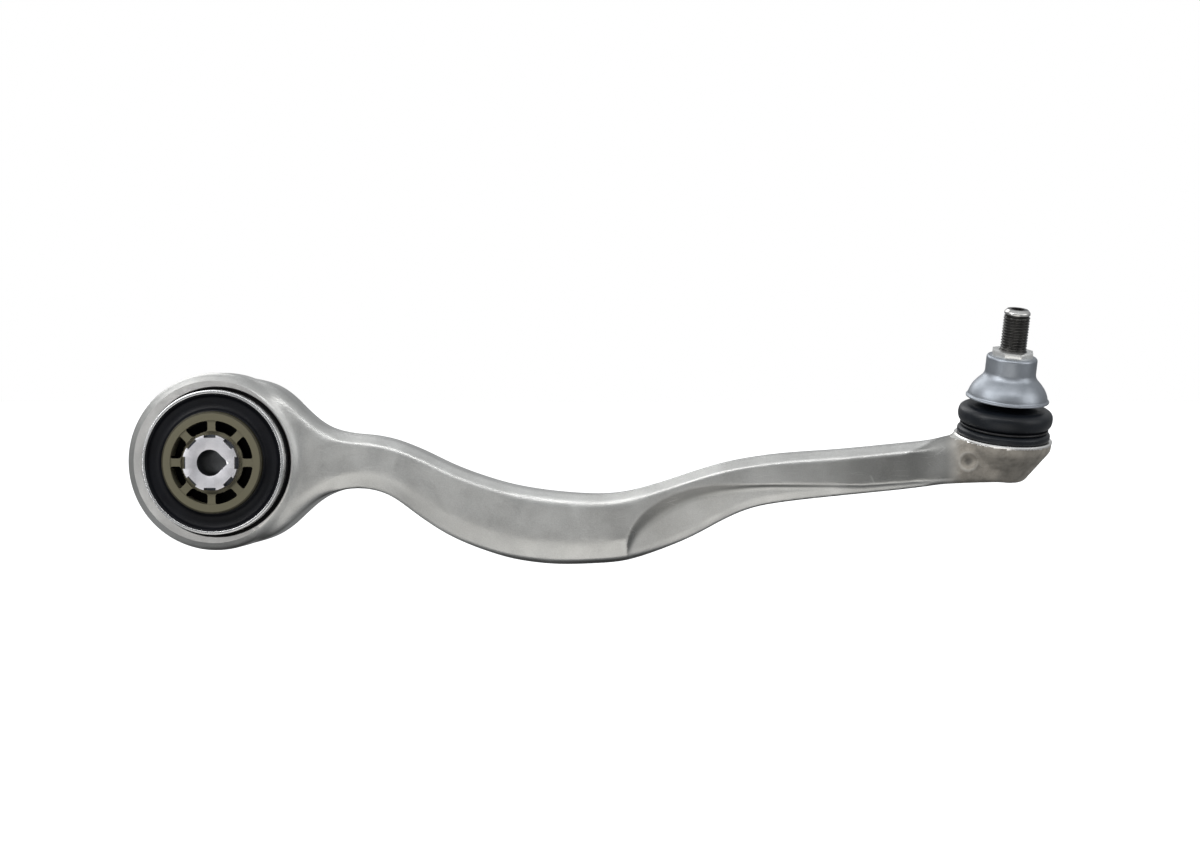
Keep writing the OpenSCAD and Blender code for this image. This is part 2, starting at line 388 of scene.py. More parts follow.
def relax(
    mesh: bpy.types.Mesh, passes: int, strength: np.ndarray | float, keep_size: bool = True
) -> None:
    """Smooths a mesh by moving points towards their neighbours.

    Args:
        mesh: the mesh that is changed.
        passes: how often each point moves.
        strength: share of the way it moves, for all points or for each.
        keep_size: whether each move is followed by one outwards, which keeps the volume.
    """
    edges = np.zeros(len(mesh.edges) * 2, np.int64)
    mesh.edges.foreach_get("vertices", edges)
    start, end = edges.reshape(-1, 2).T
    count = len(mesh.vertices)
    neighbours = np.maximum(np.bincount(edges, minlength=count), 1)[:, None]
    points = read_points(mesh)
    share = np.broadcast_to(np.asarray(strength, float), (count,))[:, None]
    moves = (1.0, -1.04) if keep_size else (1.0,)
    for _ in range(passes):
        for move in moves:
            total = np.stack([
                np.bincount(start, points[end, k], count) + np.bincount(end, points[start, k], count)
                for k in range(3)
            ], -1)
            points += (total / neighbours - points) * share * move
    mesh.vertices.foreach_set("co", points.ravel())
    mesh.update()


# --- shader work ----------------------------------------------------------------------------


class Graph:
    """Adds nodes to a node tree and wires them."""

    def __init__(self, tree: bpy.types.NodeTree) -> None:
        """Keeps the tree that the nodes go into."""
        self.tree = tree

    def node(self, kind: str, wires: dict, **settings: object) -> bpy.types.Node:
        """Adds a node.

        Args:
            kind: the node's type, without its "ShaderNode" prefix.
            wires: what goes into each input, a socket or a constant.
            settings: the node's own properties.

        Returns:
            The new node.
        """
        node = self.tree.nodes.new("ShaderNode" + kind)
        for key, value in settings.items():
            setattr(node, key, value)
        for key, value in wires.items():
            if isinstance(value, bpy.types.NodeSocket):
                self.tree.links.new(value, node.inputs[key])
            else:
                node.inputs[key].default_value = value
        return node

    def place(self) -> bpy.types.NodeSocket:
        """Adds the coordinates that stay with the object and returns them."""
        return self.node("TexCoord", {}).outputs["Object"]

    def math(self, operation: str, *values: object) -> bpy.types.NodeSocket:
        """Adds a Math node and returns its result."""
        return self.node("Math", dict(enumerate(values)), operation=operation).outputs[0]

    def weigh(
        self, first: object, second: object, shares: tuple[float, float]
    ) -> bpy.types.NodeSocket:
        """Adds nodes that sum two numbers, each times its share."""
        parts = [self.math("MULTIPLY", *pair) for pair in zip((first, second), shares)]
        return self.math("ADD", *parts)

    def vector(self, operation: str, out: int, *values: object) -> bpy.types.NodeSocket:
        """Adds a Vector Math node and returns one of its results, 0 vector or 1 number."""
        wires = dict(enumerate(values))
        return self.node("VectorMath", wires, operation=operation).outputs[out]

    def span(
        self, value: object, low: object, high: object, to: tuple[float, float] = (0.0, 1.0)
    ) -> bpy.types.NodeSocket:
        """Adds a Map Range node that takes low to high onto another range, and clamps it."""
        wires = {0: value, 1: low, 2: high, 3: to[0], 4: to[1]}
        return self.node("MapRange", wires).outputs[0]

    def blend(self, share: object, first: object, second: object) -> bpy.types.NodeSocket:
        """Adds a colour Mix node and returns its colour."""
        wires = {
            0: share,
            6: first if isinstance(first, bpy.types.NodeSocket) else (*first, 1),
            7: second if isinstance(second, bpy.types.NodeSocket) else (*second, 1),
        }
        return self.node("Mix", wires, data_type="RGBA").outputs[2]

    def noise(
        self, place: object, scale: object, detail: float = 3
    ) -> bpy.types.NodeSocket:
        """Adds a Noise Texture and returns its value."""
        wires = {"Vector": place, "Scale": scale, "Detail": detail, "Roughness": 0.6}
        return self.node("TexNoise", wires).outputs[0]

    def group(self, tree: bpy.types.NodeTree, wires: dict) -> bpy.types.Node:
        """Places a node group and wires its inputs."""
        return self.node("Group", wires, node_tree=tree)


def new_group(
    name: str, inputs: dict[str, float | Rgb], outputs: Sequence[str]
) -> tuple[Graph, bpy.types.Node, bpy.types.Node]:
    """Starts a shader node group.

    Args:
        name: the group's name.
        inputs: each input's name and default, a number or a vector.
        outputs: the names of the values it puts out.

    Returns:
        The group's graph, its input node and its output node.
    """
    tree = bpy.data.node_groups.new(name, "ShaderNodeTree")
    for key, value in inputs.items():
        kind = "NodeSocketFloat" if isinstance(value, (int, float)) else "NodeSocketVector"
        socket = tree.interface.new_socket(key, in_out="INPUT", socket_type=kind)
        socket.default_value = value
    for key in outputs:
        tree.interface.new_socket(key, in_out="OUTPUT", socket_type="NodeSocketFloat")
    return Graph(tree), tree.nodes.new("NodeGroupInput"), tree.nodes.new("NodeGroupOutput")


def grain_group() -> bpy.types.NodeTree:
    """Builds the grain that every finish has: fine speckle over broad patches.

    Returns:
        A group with the outputs Speckle and Patch, both 0 to 1.
    """
    graph, given, out = new_group(
        "surface grain", {"Speckle Scale": 900.0, "Patch Scale": 40.0}, ["Speckle", "Patch"]
    )
    place = graph.place()
    fine = graph.noise(place, given.outputs[0], 5)
    broad = graph.noise(place, given.outputs[1], 4)
    graph.tree.links.new(graph.span(fine, 0.3, 0.7), out.inputs[0])
    graph.tree.links.new(graph.span(broad, 0.32, 0.68), out.inputs[1])
    return graph.tree


def turning_group() -> bpy.types.NodeTree:
    """Builds the fine rings that a lathe leaves about an axis.

    Returns:
        A group with the output Ring, 0 to 1.
    """
    graph, given, out = new_group(
        "turning marks",
        {"Centre": (0.0, 0.0, 0.0), "Axis": (0.0, 0.0, 1.0), "Pitch": 0.0004},
        ["Ring"],
    )
    centre, axis, pitch = given.outputs[0], given.outputs[1], given.outputs[2]
    place = graph.place()
    from_centre = graph.vector("SUBTRACT", 0, place, centre)
    height = graph.vector("DOT_PRODUCT", 1, from_centre, axis)
    radius = graph.vector("LENGTH", 1, graph.vector("CROSS_PRODUCT", 0, from_centre, axis))
    travel = graph.math("DIVIDE", graph.math("ADD", radius, height), pitch)
    uneven = graph.math("MULTIPLY", graph.noise(place, 300.0, 2), 3.0)
    wave = graph.math("SINE", graph.math("ADD", graph.math("MULTIPLY", travel, FULL_TURN), uneven))
    graph.tree.links.new(graph.span(wave, -1.0, 1.0), out.inputs[0])
    return graph.tree


def wear_group() -> bpy.types.NodeTree:
    """Builds the rubbed look of raised edges.

    Returns:
        A group with the output Rubbed, 0 in hollows and on flats, 1 on edges.
    """
    graph, given, out = new_group("edge wear", {"Reach": 0.06}, ["Rubbed"])
    pointed = graph.node("NewGeometry", {}).outputs["Pointiness"]
    place = graph.place()
    uneven = 0.03
    broken = graph.math("MULTIPLY", graph.noise(place, 420.0, 3), uneven)
    high = graph.math("ADD", given.outputs[0], FLAT_POINTINESS)
    level = graph.math("ADD", pointed, graph.math("SUBTRACT", broken, uneven / 2))
    graph.tree.links.new(graph.span(level, FLAT_POINTINESS + 0.01, high), out.inputs[0])
    return graph.tree


def handling_group() -> bpy.types.NodeTree:
    """Builds the marks of handling: smears and hair-fine scratches.

    Returns:
        A group with the outputs Smear and Scratch, both 0 to 1.
    """
    graph, given, out = new_group(
        "handling marks", {"Smear Scale": 45.0, "Scratch Scale": 260.0}, ["Smear", "Scratch"]
    )
    place = graph.place()
    smear = graph.node("TexNoise", {
        "Vector": place, "Scale": given.outputs[0], "Detail": 5.0, "Distortion": 1.2,
    }).outputs[0]
    drawn = graph.node("Mapping", {
        "Vector": place, "Rotation": (0.3, 0.6, 0.2), "Scale": (0.06, 1.0, 1.0),
    }).outputs[0]
    lines = graph.node("TexVoronoi", {
        "Vector": drawn, "Scale": given.outputs[1],
    }, feature="DISTANCE_TO_EDGE").outputs["Distance"]
    kept = graph.span(graph.noise(place, 70.0, 2), 0.5, 0.62)
    scratch = graph.math("MULTIPLY", graph.span(lines, 0.0, 0.012, (1.0, 0.0)), kept)
    graph.tree.links.new(graph.span(smear, 0.35, 0.68), out.inputs[0])
    graph.tree.links.new(scratch, out.inputs[1])
    return graph.tree


class Effects:
    """The shared node groups, each built on its first use."""

    makers: dict[str, Callable[[], bpy.types.NodeTree]] = {
        "grain": grain_group,
        "turning": turning_group,
        "wear": wear_group,
        "handling": handling_group,
    }
    built: dict[str, bpy.types.NodeTree] = {}

    @classmethod
    def get(cls, name: str) -> bpy.types.NodeTree:
        """Gives a shared group by name, and builds it if it isn't there yet."""
        if name not in cls.built:
            cls.built[name] = cls.makers[name]()
        return cls.built[name]


@dataclass(frozen=True)
class Finish:
    """A finish with grain, handling marks, rubbed edges and, on turned work, tool rings."""

    name: str
    slot: str
    dark: Rgb
    light: Rgb
    rough: tuple[float, float]
    metallic: float = 0.0
    speckle: float = 900.0
    patch: float = 40.0
    relief: float = 0.02
    rubbed: Rgb | None = None
    rubbed_reach: float = 0.06
    turned: Station | None = None
    pitch: float = 0.4
    ring_depth: float = 0.5
    scratches: float = 0.0
    specular: float = 0.5

    def tint(self, graph: Graph, colour: bpy.types.NodeSocket) -> bpy.types.NodeSocket:
        """Changes the colour where a finish has more than grain; this one leaves it."""
        return colour

    def dull(self, graph: Graph, rough: bpy.types.NodeSocket) -> bpy.types.NodeSocket:
        """Changes the roughness where a finish isn't even; this one leaves it."""
        return rough

    def build(self) -> bpy.types.Material:
        """Builds the material.

        Returns:
            The material, made once and then shared.
        """
        found = bpy.data.materials.get(self.name)
        if found is not None:
            return found
        material = bpy.data.materials.new(self.name)
        material.use_nodes = True
        material.node_tree.nodes.clear()
        graph = Graph(material.node_tree)
        grain = graph.group(
            Effects.get("grain"), {"Speckle Scale": self.speckle, "Patch Scale": self.patch}
        ).outputs
        marks = graph.group(Effects.get("handling"), {}).outputs
        tone = graph.weigh(grain["Speckle"], grain["Patch"], TONE_SHARES)
        colour = self.tint(graph, graph.blend(tone, self.dark, self.light))
        height = grain["Speckle"]
        if self.turned is not None:
            place = station_matrix(self.turned)
            ring = graph.group(Effects.get("turning"), {
                "Centre": tuple(place.translation),
                "Axis": tuple(place.col[2][:3]),
                "Pitch": self.pitch * MM,
            }).outputs[0]
            height = graph.math("ADD", height, graph.math("MULTIPLY", ring, self.ring_depth))
        if self.rubbed is not None:
            worn = graph.group(Effects.get("wear"), {"Reach": self.rubbed_reach}).outputs[0]
            colour = graph.blend(worn, colour, self.rubbed)
        if self.scratches > 0:
            scored = graph.math("MULTIPLY", marks["Scratch"], self.scratches)
            gleam = tuple(min(1.0, SCRATCH_GLEAM * c) for c in self.light)
            colour = graph.blend(scored, colour, gleam)
            height = graph.math("SUBTRACT", height, scored)
        rough = graph.weigh(marks["Smear"], grain["Speckle"], ROUGH_SHARES)
        bump = graph.node("Bump", {"Strength": 1.0, "Distance": self.relief * MM, "Height": height})
        shader = graph.node("BsdfPrincipled", {
            "Base Color": colour,
            "Roughness": self.dull(graph, graph.span(rough, 0.0, 1.0, self.rough)),
            "Metallic": self.metallic,
            "Specular IOR Level": self.specular,
            "Normal": bump.outputs[0],
        })
        graph.node("OutputMaterial", {"Surface": shader.outputs[0]})
        return material

    def dress(self, piece: bpy.types.Object) -> None:
        """Gives a piece this finish alone, in its mesh."""
        piece.data.materials.clear()
        piece.data.materials.append(self.build())


@dataclass(frozen=True)
class ForgedFinish(Finish):
    """Blasted forged metal, browner and rougher where the ball housing begins."""

    housing: Rgb = (0.46, 0.43, 0.385)
    housing_from: float = 391.0
    housing_to: float = 400.0
    # painted shade: how much of it goes on where the point attribute is 1, and its near-black colour
    shade_share: float = 0.68
    shade_colour: Rgb = (0.1, 0.1, 0.095)
    scaly_dark: float = 0.72
    rough_before: float = 12.0
    housing_rough: float = 0.34

    def tint(self, graph: Graph, colour: bpy.types.NodeSocket) -> bpy.types.NodeSocket:
        """Adds the housing's scaly brown and the painted shade that the point attribute asks for.

        Args:
            graph: the material's graph.
            colour: the grain's colour.

        Returns:
            The changed colour.
        """
        place = graph.place()
        along = graph.node("SeparateXYZ", {0: place}).outputs[0]
        near = graph.span(along, self.housing_from * MM, self.housing_to * MM)
        scale = graph.span(graph.noise(place, 190.0, 6), 0.35, 0.6)
        scaly = graph.blend(scale, tuple(self.scaly_dark * c for c in self.housing), self.housing)
        # painted shade in the groove, in the punch mark and on the dim face near the housing
        left = graph.node("Attribute", {}, attribute_name="painted_shade").outputs["Fac"]
        left = graph.math("MULTIPLY", left, self.shade_share)
        return graph.blend(left, graph.blend(near, colour, scaly), self.shade_colour)

    def dull(self, graph: Graph, rough: bpy.types.NodeSocket) -> bpy.types.NodeSocket:
        """Roughens the housing.

        Args:
            graph: the material's graph.
            rough: the roughness of the rest.

        Returns:
            The changed roughness.
        """
        place = graph.place()
        along = graph.node("SeparateXYZ", {0: place}).outputs[0]
        reach = (self.housing_from - self.rough_before) * MM, self.housing_to * MM
        return graph.math("ADD", rough, graph.span(along, *reach, (0.0, self.housing_rough)))


FORGED = ForgedFinish(
    "forged aluminium", "forged_aluminium", (0.44, 0.437, 0.422), (0.63, 0.632, 0.618),
    (0.34, 0.49), metallic=1.0, speckle=1500, patch=34, relief=0.035,
    rubbed=(0.74, 0.74, 0.72), rubbed_reach=0.12, scratches=0.25,
)
MACHINED = Finish(
    "machined aluminium", "forged_aluminium", (0.62, 0.61, 0.59), (0.8, 0.79, 0.77),
    (0.28, 0.42), metallic=1.0, speckle=2200, patch=60, relief=0.012,
    turned=Station.BUSH, pitch=0.35, scratches=0.3,
)
RIM_CUT = Finish(
    "machined rim", "forged_aluminium", (0.78, 0.77, 0.75), (0.93, 0.92, 0.9),
    (0.2, 0.32), metallic=1.0, speckle=2200, patch=60, relief=0.01,
    turned=Station.BALL, pitch=0.3,
)
# painted shade: near-black on the eye's bore and relief groove, for the shadow in the gap round the
# sleeve
RELIEF_PAINTED_SHADE = Finish(
    "bore relief painted shade", "forged_aluminium", (0.004, 0.004, 0.004), (0.012, 0.012, 0.012),
    (0.45, 0.6), speckle=1500, patch=120, relief=0.02, specular=0.15,
)
SLEEVE_STEEL = Finish(
    "sleeve steel", "sleeve_steel", (0.62, 0.62, 0.62), (0.86, 0.86, 0.86),
    (0.16, 0.32), metallic=1.0, speckle=1800, patch=70, relief=0.01,
    turned=Station.BUSH, pitch=0.25, scratches=0.3,
)
# painted shade: near-black on the sleeve's outside, for the shadow in the gap between sleeve and eye
SLEEVE_PAINTED_SHADE = Finish(
    "sleeve wall painted shade", "sleeve_steel", (0.006, 0.006, 0.007), (0.02, 0.02, 0.022),
    (0.35, 0.5), speckle=1500, patch=120, relief=0.02, specular=0.25,
)
BUSH_RUBBER = Finish(
    "bush rubber", "bush_rubber", (0.002, 0.002, 0.003), (0.006, 0.007, 0.01),
    (0.34, 0.55), speckle=1600, patch=80, relief=0.03, specular=0.16,
)
CORE_PLASTIC = Finish(
    "core plastic", "core_plastic", (0.013, 0.0115, 0.006), (0.03, 0.0268, 0.015),
    (0.36, 0.52), speckle=1300, patch=110, relief=0.03, specular=0.2,
    rubbed=(0.13, 0.12, 0.08), rubbed_reach=0.1,
)
# painted shade: near-black deep in the pockets of the core
POCKET_PAINTED_SHADE = Finish(
    "core pocket painted shade", "core_plastic", (0.001, 0.001, 0.001), (0.004, 0.004, 0.003),
    (0.5, 0.7), relief=0.03, specular=0.1,
)
INNER_ALUMINIUM = Finish(
    "turned aluminium", "inner_aluminium", (0.66, 0.65, 0.68), (0.86, 0.85, 0.88),
    (0.3, 0.44), metallic=1.0, speckle=1800, patch=90, relief=0.014,
    turned=Station.BUSH, pitch=0.42, ring_depth=0.9, scratches=0.35,
)
# painted shade: dark on the bolt bore's walls and in the end notches
BORE_PAINTED_SHADE = Finish(
    "bolt bore painted shade", "inner_aluminium", (0.03, 0.033, 0.038), (0.07, 0.075, 0.085),
    (0.35, 0.5), metallic=0.7, turned=Station.BUSH, pitch=0.5,
)
CAGE_STEEL = Finish(
    "cage steel", "cage_steel", (0.16, 0.16, 0.16), (0.3, 0.3, 0.3),
    (0.35, 0.5), metallic=1.0, turned=Station.BUSH,
)
CHANNEL_PLASTIC = Finish(
    "channel plastic", "channel_plastic", (0.02, 0.022, 0.028), (0.04, 0.043, 0.05),
    (0.4, 0.55), relief=0.03,
)
SEAT_PLASTIC = Finish(
    "seat plastic", "seat_plastic", (0.6, 0.57, 0.48), (0.75, 0.72, 0.62),
    (0.3, 0.42), relief=0.015, turned=Station.BALL, pitch=0.5,
)
RING_STEEL = Finish(
    "ring steel", "ring_steel", (0.3, 0.3, 0.31), (0.5, 0.5, 0.51),
    (0.25, 0.4), metallic=1.0, relief=0.01, turned=Station.BALL, pitch=0.3,
)
WIRE_STEEL = Finish(
    "blackened wire", "ring_steel", (0.012, 0.012, 0.013), (0.035, 0.035, 0.037),
    (0.3, 0.45), metallic=0.6, relief=0.01,
)
BOOT_RUBBER = Finish(
    "boot rubber", "boot_rubber", (0.003, 0.004, 0.006), (0.01, 0.013, 0.018),
    (0.26, 0.46), speckle=1500, patch=90, relief=0.02, specular=0.3,
)
STUD_STEEL = Finish(
    "phosphated steel", "stud_steel", (0.03, 0.029, 0.028), (0.075, 0.073, 0.07),
    (0.2, 0.34), metallic=0.85, speckle=2000, patch=120, relief=0.01,
    rubbed=(0.2, 0.19, 0.18), rubbed_reach=0.2,
)
BARE_STEEL = Finish(
    "bare stud end", "stud_steel", (0.5, 0.49, 0.48), (0.75, 0.74, 0.72),
    (0.15, 0.3), metallic=1.0, speckle=2000, patch=120, relief=0.01,
    turned=Station.BALL, pitch=0.25,
)
SHIELD_COATING = Finish(
    "shield coating", "shield_coating", (0.25, 0.272, 0.3), (0.37, 0.395, 0.43),
    (0.36, 0.5), metallic=0.9, speckle=2400, patch=90, relief=0.012,
    rubbed=(0.66, 0.68, 0.71), rubbed_reach=0.16, scratches=0.2,
)
COLLAR_STEEL = Finish(
    "collar steel", "collar_steel", (0.72, 0.72, 0.7), (0.92, 0.92, 0.9),
    (0.22, 0.38), metallic=0.9, speckle=1800, patch=160, relief=0.02, scratches=0.3,
)


def install(
    piece: bpy.types.Object, body: str, finish: Finish, *nodes: str, angle: float = 32
) -> None:
    """Shades and dresses a piece, and sets it on its body in place of its CAD nodes.

    Args:
        piece: the finished object.
        body: the body it moves with.
        finish: what it is made of.
        nodes: the CAD nodes it stands for.
        angle: edges sharper than this many degrees stay sharp.
    """
    shade(piece, angle)
    finish.dress(piece)
    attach(piece, body)
    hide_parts(*nodes)
    LOG.info("%s: %d faces on %s", piece.name, len(piece.data.polygons), body)


def paint(piece: bpy.types.Object, *layers: tuple[Finish, np.ndarray]) -> None:
    """Adds finishes to a dressed piece.

    Args:
        piece: the piece, with its first finish on all faces.
        layers: each added finish with a mask of its faces; a later one goes over the others.
    """
    numbers = np.full(len(piece.data.polygons), Face.FIRST, np.int32)
    for number, (finish, mask) in enumerate(layers, Face.ADDED):
        piece.data.materials.append(finish.build())
        numbers[mask] = number
    piece.data.polygons.foreach_set("material_index", numbers)
    piece.data.update()


# --- the arm --------------------------------------------------------------------------------


@dataclass
class ForgedArm:
    """The forging: the eye, the bent beam and the ball housing, with their machined faces."""

    # the beam: how it is swept, its bevels, its groove and its lower facet
    length: float = 422.0
    ring_step: float = 1.5
    side_points: int = 72
    across_points: int = 8
    beam_from: float = 11.0
    root_at: float = 34.0
    root_taper: float = 0.3
    neck_at: float = 50.0
    neck_flare: float = 0.075
    beam_to: float = 396.0
    throat_z: float = 2.0
    beam_end: float = 421.0
    top_bevel: float = 5.0
    top_inset: float = 4.0
    sole_bevel: float = 8.0
    belly_bevel: float = 3.5
    sole_inset: float = 2.9
    foot_thin: float = 0.5
    foot_thick: float = 2.9
    foot_gap: float = 0.4
    foot_reach: Stretch = (100.0, 180.0, 213.0, 258.0)
    belly_reach: Stretch = (60.0, 130.0)
    facet_reach: Stretch = (300.0, 320.0)
    facet_full: float = 10.0
    facet_sole: float = 0.35
    groove_deep: float = 2.2
    groove_wide: float = 11.5
    groove_thin: float = 2.2
    groove_full: float = 6.0
    groove_ease: float = 0.35
    groove_reach: Stretch = (228.0, 303.0)
    facet_lean: float = 0.1
    throat_from: float = 405.0
    throat_taper: float = 0.34
    facet_share: float = 0.652
    facet_run_share: float = 0.1245
    facet_z: float = -11.0
    facet_rise: float = 33.0
    facet_climb: float = 0.07
    climb_from: float = 348.0
    # the eye
    eye_r: float = 48.28
    eye_set_back: float = 2.0
    eye_half: float = 18.0
    eye_round: float = 4.3
    eye_bevel: float = 3.6
    eye_ease: float = 2.6
    eye_spare: float = 0.8
    bore_r: float = 39.02
    relief_r: float = 40.4
    relief_deep: float = 3.0
    # the ball housing
    housing_r: float = 25.9
    foot_r: float = 13.5
    foot_z: float = -17.2
    cone_clear: float = 2.5
    cone_slope: float = 0.69
    throat_swell: float = 0.45
    rim_r: float = 26.17
    rim_h: float = 6.0
    spigot_r: float = 20.5
    spigot_h: float = 10.0
    # the machining
    cutter_r: float = 60.0
    cutter_end: float = 30.0
    rim_cutter_r: float = 34.0
    rim_cutter_end: float = 50.0
    bore_flare: float = 1.2
    socket: Outline = (
        (0, -14), (8, -14, 0.8), (15.5, -6, 2), (15.5, 5), (17.5, 5), (17.5, 8),
        (16.3, 8.8), (16.3, 11), (0, 11),
    )
    socket_mask: tuple[Stretch, Stretch] = (
        (-14.1, -6.0, -5.9, 12.0), (8.6, 15.9, 17.7, 17.7),
    )
    level_normal: float = 0.995
    # the blank: how it is read from the model, joined, smoothed and roughened
    voxel: float = 0.8
    read_share: float = 0.35
    read_blur: float = 2.2
    read_reach: int = 6
    skin_passes: int = 7
    fillet_passes: int = 46
    edge_passes: int = 30
    relax_share: float = 0.5
    neck_fillet: Stretch = (8.0, 34.0, 54.0, 66.0)
    throat_fillet: Stretch = (382.0, 390.0, 418.0, 430.0)
    skin_waves: tuple[tuple[float, float], ...] = ((0.6, 420.0), (0.4, 130.0))
    skin_rough: float = 0.03
    scaly_rough: float = 0.08
    scaly_reach: Stretch = (384.0, 398.0)
    # how far from an edge it is softened, and where along the arm
    edge_wide: float = 3.0
    sole_edge: float = 5.5
    sole_edge_from: Stretch = (62.0, 82.0)
    sole_edge_to: Stretch = (210.0, 216.0)
    crown_edge: float = 4.0
    crown_edge_from: Stretch = (50.0, 70.0)
    crown_soft: tuple[float, float] = (0.1, 0.6)
    crown_belly: Stretch = (150.0, 170.0, 222.0, 238.0)
    # where shade is painted: across the groove, along it, and on the dim face above it
    shade_across: Stretch = (0.0, 0.2, 0.55, 1.15)
    shade_full: float = 4.0
    shade_to: Stretch = (300.0, 360.0)
    dim_reach: Stretch = (285.0, 380.0)
    dim_crown: Stretch = (366.0, 396.0)
    # the punch mark with its lip and its painted shade, and the die scar
    punch_at: tuple[float, float] = (404.0, 1.5)
    punch_r: float = 2.7
    punch_deep: float = 1.7
    punch_shade: Stretch = (3.1, 0.9)
    lip_high: float = 0.7
    lip_out: float = 2.0
    lip_wide: float = 1.3
    scar_at: tuple[float, float, float] = (419.0, -25.0, -1.5)
    scar_size: tuple[float, float, float] = (4.2, 6.0, 1.1)
    scar_high: float = 0.8
    # the beam's lines, once measured
    along: np.ndarray | None = None
    tops: np.ndarray | None = None
    soles: np.ndarray | None = None

    def build(self) -> None:
        """Builds the forging and sets it on the arm's body."""
        blank = self.join_blanks()
        self.forge(blank)
        self.machine(blank)
        install(blank, "arm", FORGED, "arm_forging", angle=28)
        self.mark_machined(blank)
        self.mark_painted_shade(blank)

    def mark_painted_shade(self, blank: bpy.types.Object) -> None:
        """Writes how much painted shade the skin gets, as a point attribute.

        The painted shade darkens the groove, the face above the thin end of the lower facet, and the
        punch mark.

        Args:
            blank: the finished forging.
        """
        points = read_points(blank.data) / MM
        x, z = points[:, 0], points[:, 2]
        top, low = (np.interp(x, self.along, line) for line in (self.tops, self.soles))
        edge = np.array([self.facet_edge(a, b) for a, b in zip(x, low)])
        down = (edge - z) / self.groove_at(x)[1]
        groove = hump(down, *self.shade_across) * ramp(edge - low, 0, self.shade_full)
        groove *= 1 - ramp(x, *self.shade_to)
        crown = (top - self.top_bevel - z) / 2 + 4 * ramp(x, *self.dim_crown)
        dim = ramp(x, *self.dim_reach) * smooth_step(crown) * ramp(z - edge, -0.4, 0.4)
        dim *= 1 - ramp(x, FORGED.housing_from, FORGED.housing_to)
        mark = ramp(self.from_punch(points), *self.punch_shade)
        # painted shade: the strongest of groove, dim face and punch mark, for the material to read
        left = np.maximum(groove, np.maximum(dim, mark))
        attribute = blank.data.attributes.new("painted_shade", "FLOAT", "POINT")
        attribute.data.foreach_set("value", left.astype(np.float32))

    def measure(self, along: np.ndarray) -> np.ndarray:
        """Reads the beam's top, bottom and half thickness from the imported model.

        Args:
            along: distances from the bush axis.

        Returns:
            One row each for top, bottom and half thickness, smoothed along the arm.
        """
        mesh = frame["nodes"]["arm_forging"].data
        tree = BVHTree.FromPolygons(
            [vertex.co for vertex in mesh.vertices], [face.vertices for face in mesh.polygons]
        )
        rows = []
        for x in along:
            held = min(x, self.beam_to)
            top = tree.ray_cast(Vector((held * MM, 0, 1)), Vector((0, 0, -1)))[0].z / MM
            low = tree.ray_cast(Vector((x * MM, 0, -1)), Vector((0, 0, 1)))[0].z / MM
            level = 0.0 if x < self.neck_at else top - self.read_share * (top - low)
            if x > self.beam_to:
                level = self.throat_z
            at = Vector((max(x, self.neck_at) * MM, -1, level * MM))
            half = tree.ray_cast(at, Vector((0, 1, 0)))[0].y / -MM
            half += self.neck_flare * max(self.neck_at - x, 0)
            half -= self.throat_taper * max(x - self.throat_from, 0)
            rows.append((top, low, half - self.root_taper * max(self.root_at - x, 0)))
        reach = np.arange(-self.read_reach, self.read_reach + 1)
        kernel = np.exp(-0.5 * (reach / self.read_blur) ** 2)
        kernel /= kernel.sum()
        ends = ((0, 0), (self.read_reach, self.read_reach))
        padded = np.pad(np.array(rows).T, ends, mode="edge")
        smoothed = np.array([np.convolve(row, kernel, mode="valid") for row in padded])
        self.along, self.tops, self.soles = along, smoothed[0], smoothed[1]
        return smoothed

    def facet_edge(self, x: float, low: float) -> float:
        """Gives the height of the edge above the lower facet.

        Args:
            x: distance from the bush axis.
            low: the beam's bottom there.

        Returns:
            The edge's height: a quarter ellipse up from the belly, then level.
        """
        start, run = self.facet_share * self.length, self.facet_run_share * self.length
        if x < start - run:
            return low
        back = max(start - x, 0) / run
        level = self.facet_z + self.facet_climb * max(x - self.climb_from, 0)
        return max(low, level - self.facet_rise * (1 - math.sqrt(1 - back ** 2)))

    def groove_at(self, x: np.ndarray | float) -> tuple[np.ndarray | float, np.ndarray | float]:
        """Gives the groove's share of its way to level, and its width.

        Args:
            x: distance from the bush axis.

        Returns:
            The share, 0 at the belly and 1 where the edge runs level, and the width.
        """
        level = ramp(x, *self.groove_reach)
        return level, self.groove_wide + (self.groove_thin - self.groove_wide) * level

    def sole_tall(self, x: np.ndarray | float) -> np.ndarray | float:
        """Gives how tall the lower bevel is at a distance from the bush axis."""
        return self.sole_bevel + self.belly_bevel * ramp(x, *self.belly_reach)

    def side(self, x: float, top: float, low: float, half: float, z: np.ndarray) -> np.ndarray:
        """Gives how far the side of the beam stands from the middle plane.

        Args:
            x: distance from the bush axis.
            top: the beam's top there.
            low: its bottom there.
            half: half its thickness there.
            z: the heights wanted.

        Returns:
            The distance at each height.
        """
        bevel = self.top_inset * np.clip(1 - (top - z) / self.top_bevel, 0, 1)
        edge = self.facet_edge(x, low)
        begun = max(ramp(edge - low, 0, self.facet_full), ramp(x, *self.facet_reach))
        share = 1 - (1 - self.facet_sole) * begun
        up = z - low
        sole = self.sole_inset * share * np.clip(1 - up / (self.sole_tall(x) * share), 0, 1)
        foot = self.foot_thin + (self.foot_thick - self.foot_thin) * hump(x, *self.foot_reach)
        sole += foot * np.clip(1 - up / (foot + self.foot_gap), 0, 1) ** 2
        level, wide = self.groove_at(x)
        below = np.maximum(edge - z, 0)
        deep = self.groove_deep * ramp(edge - low, 0, self.groove_full)
        groove = deep * (1 - self.groove_ease * level) * smooth_step(below / wide)
        lean = self.facet_lean * np.maximum(below - wide, 0)
        cone = self.foot_r - self.cone_clear + self.cone_slope * np.maximum(z - self.foot_z, 0)
        cone += self.throat_swell * max(self.beam_end - x, 0)
        return np.minimum(half - bevel - sole - groove - lean, cone)

